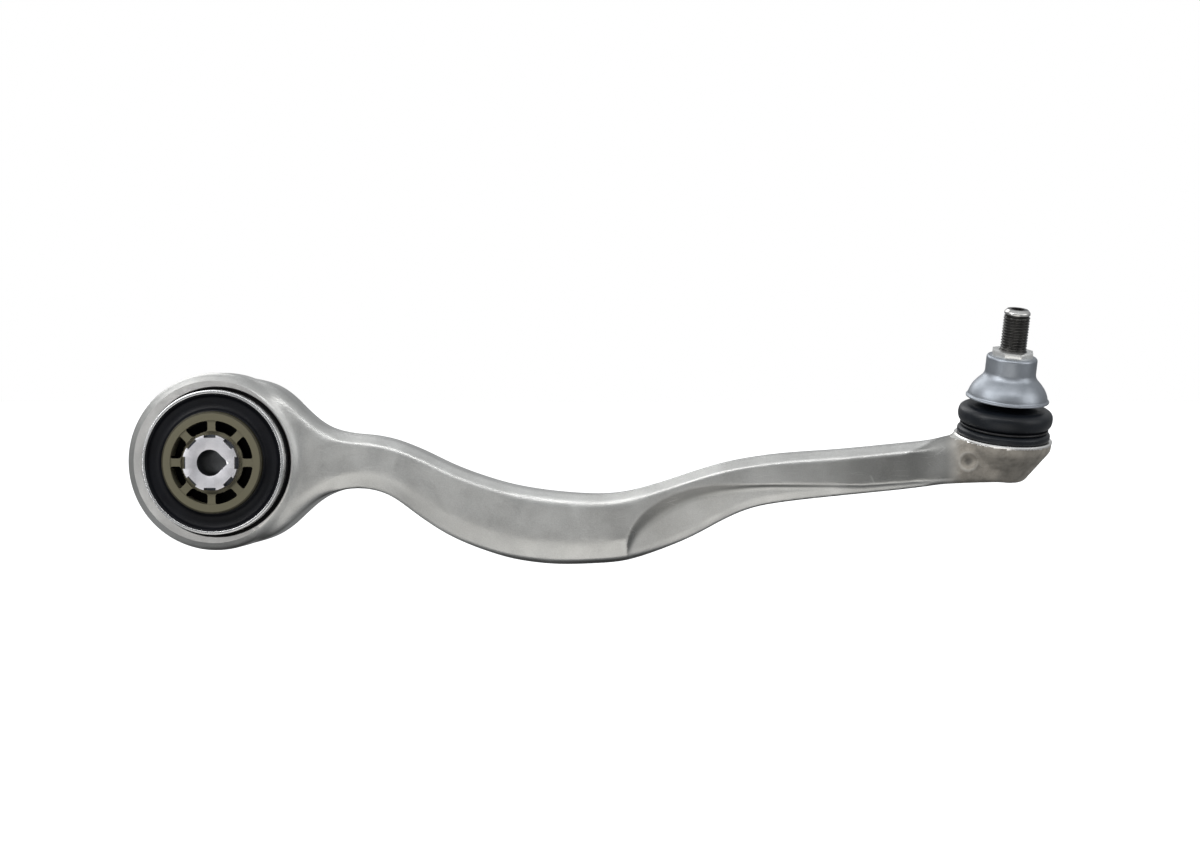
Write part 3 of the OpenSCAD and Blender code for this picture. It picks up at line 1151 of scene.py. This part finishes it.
    def beam(self) -> bpy.types.Object:
        """Sweeps the beam's section along the arm.

        Returns:
            The closed beam, running into the eye and the housing.
        """
        along = np.arange(self.beam_from, self.beam_end, self.ring_step)
        share = np.linspace(0, 1, self.side_points)
        across = np.linspace(-1, 1, self.across_points + 2)[1:-1]
        rings = []
        for x, top, low, half in zip(along, *self.measure(along)):
            z = top + (low - top) * share
            y = self.side(x, top, low, half, z)
            front = [(x, -a, b) for a, b in zip(y, z)]
            sole = [(x, y[-1] * k, low) for k in across]
            back = [(x, a, b) for a, b in zip(y[::-1], z[::-1])]
            crown = [(x, -y[0] * k, top) for k in across]
            rings.append(front + sole + back + crown)
        count, size = len(rings), len(rings[0])
        faces = [
            (
                ring * size + k, ring * size + (k + 1) % size,
                (ring + 1) * size + (k + 1) % size, (ring + 1) * size + k,
            )
            for ring in range(count - 1)
            for k in range(size)
        ]
        faces += [tuple(range(size)), tuple(range((count - 1) * size, count * size))]
        return add_mesh("beam", np.array(rings).reshape(-1, 3) * MM, faces)

    def join_blanks(self) -> bpy.types.Object:
        """Joins the beam, the eye and the housing into one skin.

        Returns:
            The blank, before smoothing.
        """
        deep, turned = self.eye_half + self.eye_spare, self.eye_half - self.eye_bevel
        bevel = self.eye_r - self.eye_round
        eye = turn("eye", [
            (0, -deep), (bevel - 1, -deep), (bevel, -self.eye_half, 0.3),
            (self.eye_r, -turned, self.eye_ease), (self.eye_r, turned, self.eye_ease),
            (bevel, self.eye_half, 0.3), (bevel - 1, deep), (0, deep),
        ], Station.BUSH, 220)
        eye.data.transform(Matrix.Translation((-self.eye_set_back * MM, 0, 0)))
        housing = turn("housing", [
            (0, self.foot_z), (self.foot_r, self.foot_z, 2.2), (self.housing_r - 0.4, 0.3, 1.6),
            (self.housing_r, 2, 1), (self.housing_r, 8), (0, 8),
        ], Station.BALL)
        blank = self.beam()
        blank.name = "forged_arm"
        points = [read_points(piece.data) for piece in (blank, eye, housing)]
        faces: list[tuple[int, ...]] = []
        start = 0
        for piece, rows in zip((blank, eye, housing), points):
            faces += [tuple(start + k for k in face.vertices) for face in piece.data.polygons]
            start += len(rows)
        whole = bpy.data.meshes.new("forged_arm")
        whole.from_pydata(np.concatenate(points).tolist(), [], faces)
        blank.data = whole
        for piece in (eye, housing):
            bpy.data.meshes.remove(piece.data)
        remesh = blank.modifiers.new("skin", "REMESH")
        remesh.mode = "VOXEL"
        remesh.voxel_size = self.voxel * MM
        return settle(blank)

    def forge(self, blank: bpy.types.Object) -> None:
        """Gives the blank its forging fillets and its uneven skin.

        Args:
            blank: the joined blank.
        """
        mesh = blank.data
        relax(mesh, self.skin_passes, self.relax_share)
        x = read_points(mesh)[:, 0] / MM
        fillets = np.maximum(hump(x, *self.neck_fillet), hump(x, *self.throat_fillet))
        relax(mesh, self.fillet_passes, self.relax_share * fillets, keep_size=False)
        self.soften_edges(mesh)
        points, normals = read_points(mesh), read_points(mesh, "normal")
        rough = self.skin_rough + self.scaly_rough * ramp(points[:, 0] / MM, *self.scaly_reach)
        waves = np.array([
            sum(share * noise.noise(Vector(p * scale)) for share, scale in self.skin_waves)
            for p in points
        ])
        push = rough * waves + self.dents(points / MM)
        mesh.vertices.foreach_set("co", (points + normals * push[:, None] * MM).ravel())
        mesh.update()

    def soften_edges(self, mesh: bpy.types.Mesh) -> None:
        """Rounds the edges between the face and its two bevels, most of all along the belly.

        Args:
            mesh: the blank's mesh.
        """
        points = read_points(mesh) / MM
        x, z = points[:, 0], points[:, 2]
        sole = np.abs(z - np.interp(x, self.along, self.soles) - self.sole_tall(x))
        sole = (
            ramp(sole, self.sole_edge, self.sole_edge - self.edge_wide)
            * ramp(x, *self.sole_edge_from) * ramp(x, *reversed(self.sole_edge_to))
        )
        least, more = self.crown_soft
        crown = np.abs(z - np.interp(x, self.along, self.tops) + self.top_bevel)
        crown = (
            ramp(crown, self.crown_edge, self.crown_edge - self.edge_wide)
            * (least + more * hump(x, *self.crown_belly)) * ramp(x, *self.crown_edge_from)
        )
        share = np.maximum(sole, crown * (x < self.beam_to))
        relax(mesh, self.edge_passes, self.relax_share * share, keep_size=False)

    def from_punch(self, points: np.ndarray) -> np.ndarray:
        """Gives how far points are from the punch mark's axis, far for those behind it."""
        across = np.hypot(points[:, 0] - self.punch_at[0], points[:, 2] - self.punch_at[1])
        return across + 100 * (points[:, 1] > 0)

    def dents(self, points: np.ndarray) -> np.ndarray:
        """Gives the punch mark and the die scar beside the housing.

        Args:
            points: places on the blank.

        Returns:
            How far the skin stands out at each place.
        """
        punch = self.from_punch(points)
        dent = -self.punch_deep * np.exp(-(punch / self.punch_r) ** 2)
        lip = (punch - self.punch_r - self.lip_out) / self.lip_wide
        dent += self.lip_high * np.exp(-lip ** 2)
        scar = (points - np.array(self.scar_at)) / np.array(self.scar_size)
        return dent + self.scar_high * np.exp(-(scar ** 2).sum(axis=1))

    def machine(self, blank: bpy.types.Object) -> None:
        """Cuts the eye's faces and bore, the housing's rim, the spigot and the socket.

        Args:
            blank: the forged blank.
        """
        deep, wide, end = self.eye_half, self.relief_r, self.cutter_end
        shelf, flared = deep - self.relief_deep, wide + self.bore_flare
        for side in (-1, 1):
            carve(blank, turn("face_cutter", [
                (0, side * deep), (self.cutter_r, side * deep), (self.cutter_r, side * end),
                (0, side * end),
            ], Station.BUSH, 96))
        half_bore = [
            (self.bore_r, shelf), (wide, shelf, 0.3), (wide, deep - 0.5), (flared, deep + 0.7),
            (flared, end),
        ]
        carve(blank, turn("bore_cutter", [
            (0, end), (0, -end), *other_end(half_bore), *half_bore,
        ], Station.BUSH, 220))
        top, wide, end = self.rim_h, self.rim_cutter_r, self.rim_cutter_end
        carve(blank, turn("rim_cutter", [
            (0, top - 1), (wide, top - 1), (wide, end), (0, end),
        ], Station.BALL))
        carve(blank, turn("rim", [
            (0, 1), (self.rim_r - 3, 4.7), (self.rim_r, 4.9, 0.1), (self.rim_r, top - 0.6),
            (self.rim_r - 0.6, top), (self.spigot_r, top, 0.3), (self.spigot_r, self.spigot_h - 0.4),
            (self.spigot_r - 0.4, self.spigot_h), (0, self.spigot_h),
        ], Station.BALL), Cut.ADD)
        carve(blank, turn("socket_cutter", self.socket, Station.BALL))

    def mark_machined(self, blank: bpy.types.Object) -> None:
        """Gives the cut faces the machined finishes.

        Args:
            blank: the finished forging.
        """
        centre, normal = read_faces(blank.data)
        about_bush = np.hypot(centre[:, 0], centre[:, 2])
        out = np.abs(centre[:, 1])
        level = np.abs(normal[:, 1]) > self.level_normal
        face = level & (out > self.eye_half - 0.05) & (about_bush < self.cutter_r)
        local = from_ball(centre)
        about_ball = np.hypot(local[:, 0], local[:, 1])
        rim = (local[:, 2] > 4.6) & (about_ball < self.rim_r + 0.1)
        deep = np.interp(local[:, 2], *self.socket_mask)
        socket = (about_ball < deep) & (local[:, 2] > self.socket_mask[0][0])
        # the bore and its relief groove get near-black painted shade
        bore = (about_bush < self.relief_r + 0.4) & (out < self.eye_half - 0.3)
        paint(
            blank, (MACHINED, face | (about_bush < self.relief_r + 1.3)), (RIM_CUT, rim | socket),
            (RELIEF_PAINTED_SHADE, bore),
        )


# --- the bush -------------------------------------------------------------------------------


@dataclass
class HydraulicBush:
    """The bush pressed into the eye: steel sleeve, rubber, spoked core and bolt sleeve."""

    sleeve_r: float = 39.0
    sleeve_wall: float = 1.8
    sleeve_half: float = 28.5
    # how far each way from the middle the painted shade on the sleeve's outside reaches
    shade_half: float = 22.0
    core_r: float = 27.6
    core_half: float = 31.0
    rim_wall: float = 4.9
    hub_r: float = 17.0
    hub_drop: float = 3.0
    spoke_drop: float = 0.6
    spoke_wide: float = 4.3
    spokes: int = 8
    web_half: float = 20.0
    pocket_corner: float = 1.3
    inner_r: float = 15.0
    inner_half: float = 34.5
    bore_r: float = 7.1
    key_angle: float = 38.0
    key_tip: float = 10.3
    notch_wide: float = 6.4
    notch_deep: float = 1.6
    notch_reach: float = 4.0
    gap: float = 0.02
    cage_slot: Outline = ((33.2, -24), (33.2, 24), (32.0, 24), (32.0, -24))
    channel_belt: Outline = ((40, -14), (40, 14), (34.98, 14), (34.98, -14))
    chamber: Outline = ((40, -12), (40, 12), (26.6, 12), (26.6, -12))
    chamber_half: float = 40.0

    def build(self) -> None:
        """Builds the four pieces that replace CAD nodes, and dresses the ones kept."""
        self.outer_sleeve()
        self.rubber()
        self.core()
        self.bolt_sleeve()
        kept = {
            "window_cage": CAGE_STEEL,
            "channel_shell_upper": CHANNEL_PLASTIC,
            "channel_shell_lower": CHANNEL_PLASTIC,
            "travel_stop_left": CORE_PLASTIC,
            "travel_stop_right": CORE_PLASTIC,
        }
        for node, finish in kept.items():
            finish.dress(frame["nodes"][node])
            LOG.info("%s: kept from the CAD model", node)

    def outer_sleeve(self) -> None:
        """Builds the steel sleeve, with its edges rolled over and painted shade on the middle of its
        outside.
        """
        outer, inner, half = self.sleeve_r, self.sleeve_r - self.sleeve_wall, self.sleeve_half
        piece = turn("pressed_sleeve", [
            (inner, -half, 0.35), (outer, -half, 0.7), (outer, -self.shade_half),
            (outer, self.shade_half), (outer, half, 0.7), (inner, half, 0.35),
        ], Station.BUSH, 240)
        install(piece, "arm", SLEEVE_STEEL, "bush_outer_sleeve", angle=50)
        centre, _ = read_faces(piece.data)
        outside = np.hypot(centre[:, 0], centre[:, 2]) > outer - 0.1
        # near-black painted shade on the sleeve's outside, where the gap at the eye is in shadow
        paint(piece, (SLEEVE_PAINTED_SHADE, outside & (np.abs(centre[:, 1]) < self.shade_half)))

    def rubber(self) -> None:
        """Builds the rubber with dished faces, and cuts the room for the pieces inside it."""
        outer = self.sleeve_r - self.sleeve_wall - self.gap
        inner = self.core_r + 0.05
        face = [
            (outer, 27.6), (outer - 0.7, 27.6, 0.5), (outer - 1.9, 25.8, 1.2), (32.0, 25.0, 1.5),
            (inner + 1.7, 25.6, 1.2), (inner + 0.5, 27.2, 0.5), (inner, 27.4),
        ]
        piece = turn("bush_rubber_ring", [
            *face, *other_end(face),
        ], Station.BUSH, 200)
        carve(piece, turn("cage_slot", self.cage_slot, Station.BUSH))
        carve(piece, turn("channel_belt", self.channel_belt, Station.BUSH))
        for middle in (0, 180):
            sweep = (middle - self.chamber_half, middle + self.chamber_half)
            carve(piece, turn("chamber", self.chamber, Station.BUSH, 40, sweep))
        install(piece, "arm", BUSH_RUBBER, "rubber_spring", angle=40)

    def pocket(self, number: int) -> list[tuple[float, float]]:
        """Draws a pocket between two spokes, with round corners.

        Args:
            number: which pocket, counted round from the right.

        Returns:
            The points of its edge, across the bush axis.
        """
        half_angle = math.pi / self.spokes
        middle = (2 * number + 1) * half_angle
        low, high = self.hub_r, self.core_r - self.rim_wall
        tall, corner = (high - low) / 2, self.pocket_corner
        wide = (low + high) / 2 * half_angle - self.spoke_wide / 2
        edge = []
        for quarter, (right, up) in enumerate(((1, 1), (-1, 1), (-1, -1), (1, -1))):
            for step in range(7):
                angle = (quarter + step / 6) * math.pi / 2
                across = right * (wide - corner) + corner * math.cos(angle)
                radius = (low + high) / 2 + up * (tall - corner) + corner * math.sin(angle)
                room = half_angle - math.asin(self.spoke_wide / 2 / radius)
                turned = middle + across / wide * room
                edge.append((radius * math.cos(turned), radius * math.sin(turned)))
            if quarter in (0, 2):
                ends = (1, -1) if quarter == 0 else (-1, 1)
                radius = high if quarter == 0 else low
                room = half_angle - math.asin(self.spoke_wide / 2 / radius)
                flat = (wide - corner) / wide
                for step in range(1, 10):
                    share = ends[0] + (ends[1] - ends[0]) * step / 10
                    turned = middle + share * flat * room
                    edge.append((radius * math.cos(turned), radius * math.sin(turned)))
        return edge

    def core(self) -> None:
        """Builds the spoked core moulding, with a closed web behind the pockets and painted shade in
        them.
        """
        inner, half = self.inner_r + self.gap, self.core_half
        ring_in = self.core_r - self.rim_wall
        hub_h, spoke_h = half - self.hub_drop, half - self.spoke_drop
        face = [
            (self.core_r, half, 1.3), (ring_in, half), (ring_in, spoke_h), (self.hub_r, spoke_h),
            (self.hub_r, hub_h), (inner, hub_h),
        ]
        piece = turn("spoked_core", [
            *face, *other_end(face),
        ], Station.BUSH, 160)
        for number in range(self.spokes):
            for side in (-1, 1):
                low, high = sorted((side * self.web_half, side * (half + 5)))
                carve(piece, prism("pocket", self.pocket(number), low, high, Station.BUSH))
        break_edges(piece, 0.35, 50)
        install(piece, "bush_core", CORE_PLASTIC, "core_moulding")
        centre, _ = read_faces(piece.data)
        about_bush = np.hypot(centre[:, 0], centre[:, 2])
        pocket = (about_bush > self.hub_r - 0.1) & (about_bush < ring_in + 0.1)
        # near-black painted shade on the pocket floors and the deep part of their walls
        paint(piece, (POCKET_PAINTED_SHADE, pocket & (np.abs(centre[:, 1]) < hub_h - 0.5)))

    def bolt_sleeve(self) -> None:
        """Builds the aluminium bolt sleeve with its keyed bore and notched ends, both with painted
        shade.
        """
        radius, half = self.inner_r, self.inner_half
        piece = turn("bolt_sleeve", [
            (0, -half), (radius, -half), (radius, half), (0, half),
        ], Station.BUSH, 144)
        span = np.radians(np.linspace(self.key_angle, 360 - self.key_angle, 60))
        edge = [*round_points(self.bore_r, span), (self.key_tip, 0.0)]
        carve(piece, prism("keyed_bore", edge, -half - 2, half + 2, Station.BUSH))
        break_edges(piece, 0.45, 35, 3)
        for side in (-1, 1):
            for number in range(self.spokes):
                turned = number * FULL_TURN / self.spokes
                corners = [
                    (radius - self.notch_deep, -self.notch_wide / 2),
                    (radius + 2, -self.notch_wide / 2),
                    (radius + 2, self.notch_wide / 2),
                    (radius - self.notch_deep, self.notch_wide / 2),
                ]
                c, s = math.cos(turned), math.sin(turned)
                edge = [(x * c - y * s, x * s + y * c) for x, y in corners]
                low, high = sorted((side * (half - self.notch_reach), side * (half + 2)))
                carve(piece, prism("notch", edge, low, high, Station.BUSH))
        install(piece, "bush_core", INNER_ALUMINIUM, "inner_sleeve")
        centre, normal = read_faces(piece.data)
        about_bush = np.hypot(centre[:, 0], centre[:, 2])
        bore = (about_bush < self.key_tip) & (np.abs(normal[:, 1]) < 0.2)
        notch = (about_bush > self.key_tip) & (about_bush < radius - 0.1)
        # dark painted shade on the bore's walls and in the notches
        paint(piece, (BORE_PAINTED_SHADE, bore | notch & (np.abs(centre[:, 1]) < half - 0.6)))


# --- the ball joint -------------------------------------------------------------------------


@dataclass
class BallJoint:
    """The ball joint: seat, ring, boot and its two wires, stud, shield and collar."""

    ball_r: float = 12.5
    neck_r: float = 7.5
    neck_from: float = 13.0
    neck_to: float = 52.4
    tip_tall: float = 2.6
    thread_r: float = 7.0
    pitch: float = 1.5
    thread_deep: float = 0.62
    root_share: float = 0.1
    flank_share: float = 0.32
    thread_from: float = 53.0
    thread_to: float = 70.9
    stud_end: float = 74.8
    recess_r: float = 3.9
    recess_deep: float = 5.0
    boot_from: float = 12.0
    boot_to: float = 24.0
    seat_skin: Outline = (
        (3, -12.6), (3, -13.98), (7.95, -13.98, 0.6), (15.48, -6, 1.8), (15.48, 4.98, 0.3),
        (12.2, 4.98),
    )
    ring: Outline = ((12.4, 5, 0.2), (17.48, 5, 0.3), (17.48, 7.98, 0.4), (13.6, 7.98, 0.3))
    boot_skin: Outline = (
        (20.52, 6.05), (24.2, 6.05, 0.4), (24.7, 7.2, 0.5), (24.7, 9.0, 0.6), (23.6, 10.0, 0.4),
        (22.3, 10.5, 0.4), (22.3, 12.1, 0.5), (24.3, 13.3, 1.2), (25.3, 16.2, 2.4),
        (24.9, 20.2, 2.2), (21.6, 22.2, 1.9), (17.4, 22.1, 1.6), (13.4, 23.3, 1.3),
        (11.0, 24.6, 0.9), (11.0, 28.5, 0.4), (8.2, 28.5, 0.4), (8.2, 23.2, 0.8),
        (12.5, 21.4, 1.2), (16.8, 20.2, 1.3), (20.6, 20.1, 1.4), (23.0, 18.0, 1.3),
        (22.7, 15.0, 1.2), (20.52, 12.9, 0.7),
    )
    shield_skin: Outline = (
        (7.52, 36), (7.52, 49.5), (12.7, 49.5, 0.5), (13.5, 48.6, 0.6), (13.5, 40.2, 0.9),
        (14.4, 38.1, 1.3), (17.0, 35.6, 1.6), (19.5, 32.5, 1.8), (20.9, 29.3, 1.3),
        (21.2, 27.7, 0.5), (22.1, 27.0, 0.3), (22.1, 26.2, 0.3), (20.1, 26.2, 0.25),
        (19.6, 28.8, 1.2), (17.9, 31.6, 1.5), (15.4, 34.4, 1.2), (13, 36, 0.6),
    )
    collar_r: float = 11.4
    collar_bore_r: float = 7.52
    collar_from: float = 49.5
    collar_to: float = 52.5

    def build(self) -> None:
        """Builds the ball joint's pieces, from the socket outwards."""
        self.seat()
        self.retaining_ring()
        self.boot()
        self.wires()
        self.stud()
        self.shield()
        self.collar()

    def seat(self) -> None:
        """Builds the plastic cup round the ball, with a relief hole in its foot."""
        cavity = self.ball_r + 0.05
        arc = round_points(cavity, np.radians(np.linspace(21, -73, 30)))
        piece = turn("seat_cup", [*arc, *self.seat_skin], Station.BALL, 128)
        install(piece, "arm", SEAT_PLASTIC, "ball_seat", angle=40)

    def retaining_ring(self) -> None:
        """Builds the ring that holds the cup in the socket."""
        piece = turn("socket_ring", self.ring, Station.BALL, 128)
        install(piece, "arm", RING_STEEL, "retaining_ring", angle=40)

    def boot(self) -> None:
        """Builds the rubber boot between the housing and the stud."""
        piece = turn("rolled_boot", self.boot_skin, Station.BALL, 160)
        shade(piece, 60)
        BOOT_RUBBER.dress(piece)
        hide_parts("ball_boot")
        place = station_matrix(Station.BALL)
        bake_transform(piece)
        LOG.info("%s: %d faces, bends to the stud", piece.name, len(piece.data.polygons))

    def wires(self) -> None:
        """Builds the wire round the bead and the spring round the lip."""
        rows = (
            ("bead_wire", 22.95, 11.3, 0.6, "boot", "boot_ring_lower"),
            ("lip_spring", 11.9, 26.5, 0.85, "boot_lip", "boot_ring_upper"),
        )
        for name, radius, height, wire, body, node in rows:
            angles = np.linspace(0, FULL_TURN, 16, endpoint=False)
            outline = round_points(wire, angles, (radius, height))
            install(turn(name, outline, Station.BALL, 128), body, WIRE_STEEL, node, angle=60)

    def thread(self, radius: np.ndarray, height: np.ndarray, turned: np.ndarray) -> np.ndarray:
        """Cuts the thread into the stud's shank.

        Args:
            radius: each point's radius.
            height: its height along the ball axis.
            turned: its angle.

        Returns:
            The radius with the thread cut in.
        """
        phase = (height / self.pitch - turned / FULL_TURN) % 1.0
        flank = np.clip((np.abs(phase - 0.5) - self.root_share) / self.flank_share, 0, 1)
        begun = smooth_step((height - self.thread_from) / 1.6)
        ended = smooth_step((self.thread_to + 0.3 - height) / 0.9)
        threaded = (height > self.thread_from) & (height < self.thread_to + 0.3)
        cut = radius - self.thread_deep * (1 - flank) * begun * ended
        return np.where(threaded & (radius > self.thread_r - 1.2), cut, radius)

    def stud(self) -> None:
        """Builds the ball stud with a real thread and a hexagon recess in its end."""
        ball, neck, crest = self.ball_r, self.neck_r, self.thread_r
        arc = round_points(ball, np.radians(np.linspace(-71, 40, 40)))
        rows = np.arange(self.thread_from + 0.1, self.thread_to, self.pitch / 12)
        piece = turn("threaded_stud", [
            (0, -11.8), *arc, (neck, self.neck_from, 2), (neck, self.neck_to, 0.2),
            (crest, self.thread_from, 0.1),
            *[(crest, h) for h in rows],
            (crest - 0.7, self.thread_to + 0.35), (crest - 0.7, self.thread_to + 0.95),
            (crest - 0.1, self.thread_to + 1.25, 0.1), (crest - 0.1, self.stud_end - 1.5, 0.3),
            (crest - 1.4, self.stud_end, 0.2), (0, self.stud_end),
        ], Station.BALL, 120, warp=self.thread)
        hexagon = round_points(self.recess_r, np.linspace(0, FULL_TURN, 6, endpoint=False))
        low, high = self.stud_end - self.recess_deep, self.stud_end + 2
        carve(piece, prism("recess", hexagon, low, high, Station.BALL))
        install(piece, "stud", STUD_STEEL, "ball_stud", angle=30)
        local = from_ball(read_faces(piece.data)[0])
        tip = local[:, 2] > self.stud_end - self.tip_tall
        wall = np.hypot(local[:, 0], local[:, 1]) > self.thread_r - 1.8
        paint(piece, (BARE_STEEL, tip & wall))

    def shield(self) -> None:
        """Builds the bell-shaped shield pressed on the stud."""
        piece = turn("bell_shield", self.shield_skin, Station.BALL, 176)
        install(piece, "stud", SHIELD_COATING, "dust_shield", angle=48)

    def collar(self) -> None:
        """Builds the eight-sided collar above the shield."""
        edge = round_points(self.collar_r, np.radians(np.arange(22.5, 382.5, 45)))
        low, high, bore = self.collar_from, self.collar_to, self.collar_bore_r
        piece = prism("knuckle_collar", edge, low, high, Station.BALL)
        carve(piece, turn("collar_bore", [
            (0, low - 1.5), (bore, low - 1.5), (bore, high + 1.5), (0, high + 1.5),
        ], Station.BALL, 96))
        break_edges(piece, 0.5, 30, 3)
        install(piece, "stud", COLLAR_STEEL, "seat_collar")


# --- the studio -----------------------------------------------------------------------------


@dataclass(frozen=True)
class Softbox:
    """A flat soft light, so wide and so tall."""

    name: str
    place: tuple[float, float, float]
    size: float
    tall: float
    watts: float
    colour: Rgb = (1.0, 1.0, 1.0)


@dataclass
class Studio:
    """The floor, the sky, the lights and the camera."""

    azimuth: float = 5.5
    elevation: float = 1.0
    distance: float = 1.532
    lens: float = 85.0
    sensor: float = 36.0
    aim_shift: tuple[float, float, float] = (0.0075, 0.0, 0.006)
    floor_z: float = -0.36
    floor_half: float = 40.0
    floor_tones: tuple[float, float] = (0.9, 0.94)
    sky_above: tuple[float, float] = (0.26, 0.66)
    sky_below: tuple[float, float] = (0.42, 0.26)
    pit_way: tuple[float, float, float] = (0.0, 0.35, -0.94)
    pit_edge: tuple[float, float] = (0.72, 0.97)
    pit_left: float = 0.03
    boxes: tuple[Softbox, ...] = (
        Softbox("key", (-0.9, -0.9, 1.15), 1.2, 1.2, 12.4),
        Softbox("slit", (-0.52, -0.75, 0.2), 0.1, 1.1, 1.4),
        Softbox("strip", (0.25, -1.35, 1.3), 2.4, 0.22, 9.0),
        Softbox("side", (1.7, -0.55, 0.45), 1.1, 1.1, 6.0),
        Softbox("low", (0.15, -1.1, -0.75), 1.3, 1.0, 3.7, (1.0, 0.975, 0.93)),
        Softbox("back", (-0.75, 1.05, 1.25), 1.2, 1.2, 9.0),
    )

    def build(self) -> None:
        """Builds the whole studio."""
        centre = (Vector(CAD_BOX[0]) + Vector(CAD_BOX[1])) / 2 + Vector(self.aim_shift)
        self.camera(centre)
        self.floor()
        self.sky()
        for box in self.boxes:
            self.light(box, centre)
        bpy.context.scene.view_settings.view_transform = "Standard"

    def camera(self, centre: Vector) -> None:
        """Sets the camera at the viewing angle.

        Args:
            centre: the point it looks at.
        """
        data = bpy.data.cameras.new("camera")
        data.lens = self.lens
        data.sensor_width = self.sensor
        data.clip_end = 200.0
        camera = bpy.data.objects.new("camera", data)
        turned, raised = math.radians(self.azimuth), math.radians(self.elevation)
        away = Vector((
            math.sin(turned) * math.cos(raised), -math.cos(turned) * math.cos(raised),
            math.sin(raised),
        ))
        camera.location = centre + away * self.distance
        camera.rotation_euler = (-away).to_track_quat("-Z", "Y").to_euler()
        bpy.context.scene.collection.objects.link(camera)
        bpy.context.scene.camera = camera

    def floor(self) -> None:
        """Lays the pale floor, well below the part."""
        half = self.floor_half
        corners = np.array([(-half, -half, 0), (half, -half, 0), (half, half, 0), (-half, half, 0)])
        floor = add_mesh("floor", corners + np.array((0, 0, self.floor_z)), [(0, 1, 2, 3)])
        if floor.data.polygons[0].normal.z < 0:
            floor.data.flip_normals()
        paper = bpy.data.materials.new("floor paper")
        paper.use_nodes = True
        paper.node_tree.nodes.clear()
        graph = Graph(paper.node_tree)
        place = graph.place()
        dark, light = ((tone, tone, tone) for tone in self.floor_tones)
        tone = graph.blend(graph.noise(place, 900.0), dark, light)
        shader = graph.node("BsdfPrincipled", {
            "Base Color": tone, "Roughness": 0.9, "Emission Color": tone, "Emission Strength": 0.9,
        })
        graph.node("OutputMaterial", {"Surface": shader.outputs[0]})
        floor.data.materials.append(paper)
        floor.visible_glossy = False
        floor.visible_diffuse = False

    def sky(self) -> None:
        """Builds the surroundings: white to look at, softly graded where they light the part."""
        world = bpy.data.worlds.new("studio")
        bpy.context.scene.world = world
        world.use_nodes = True
        world.node_tree.nodes.clear()
        graph = Graph(world.node_tree)
        way = graph.node("TexCoord", {}).outputs["Generated"]
        up = graph.node("SeparateXYZ", {0: way}).outputs[2]
        above = graph.span(up, 0.0, 0.9, self.sky_above)
        below = graph.span(up, -0.7, -0.02, self.sky_below)
        level = graph.math("GREATER_THAN", up, 0.0)
        tone = graph.math("ADD", graph.math("MULTIPLY", above, level),
                          graph.math("MULTIPLY", below, graph.math("SUBTRACT", 1.0, level)))
        pit = graph.vector("DOT_PRODUCT", 1, way, self.pit_way)
        left = graph.span(pit, *self.pit_edge, (1.0, self.pit_left))
        tone = graph.math("MULTIPLY", tone, left)
        looked = graph.node("LightPath", {}).outputs["Is Camera Ray"]
        lit = graph.node("Background", {"Color": (0.96, 0.98, 1.0, 1), "Strength": tone})
        seen = graph.node("Background", {"Color": (1, 1, 1, 1), "Strength": 1.0})
        both = graph.node("MixShader", {0: looked, 1: lit.outputs[0], 2: seen.outputs[0]})
        graph.node("OutputWorld", {"Surface": both.outputs[0]})

    def light(self, box: Softbox, centre: Vector) -> None:
        """Hangs a soft light that faces the part.

        Args:
            box: the light's size, place and power.
            centre: the point it faces.
        """
        data = bpy.data.lights.new(box.name, "AREA")
        data.shape = "RECTANGLE"
        data.size, data.size_y = box.size, box.tall
        data.energy = box.watts
        data.color = box.colour
        light = bpy.data.objects.new(box.name, data)
        light.location = box.place
        light.rotation_euler = (centre - Vector(box.place)).to_track_quat("-Z", "Y").to_euler()
        bpy.context.scene.collection.objects.link(light)


def main() -> None:
    """Builds the studio and the part, sub-assembly by sub-assembly."""
    logging.basicConfig(level=logging.INFO, format="%(name)s %(message)s")
    Studio().build()
    ForgedArm().build()
    HydraulicBush().build()
    BallJoint().build()


if __name__ == "__main__":
    main()
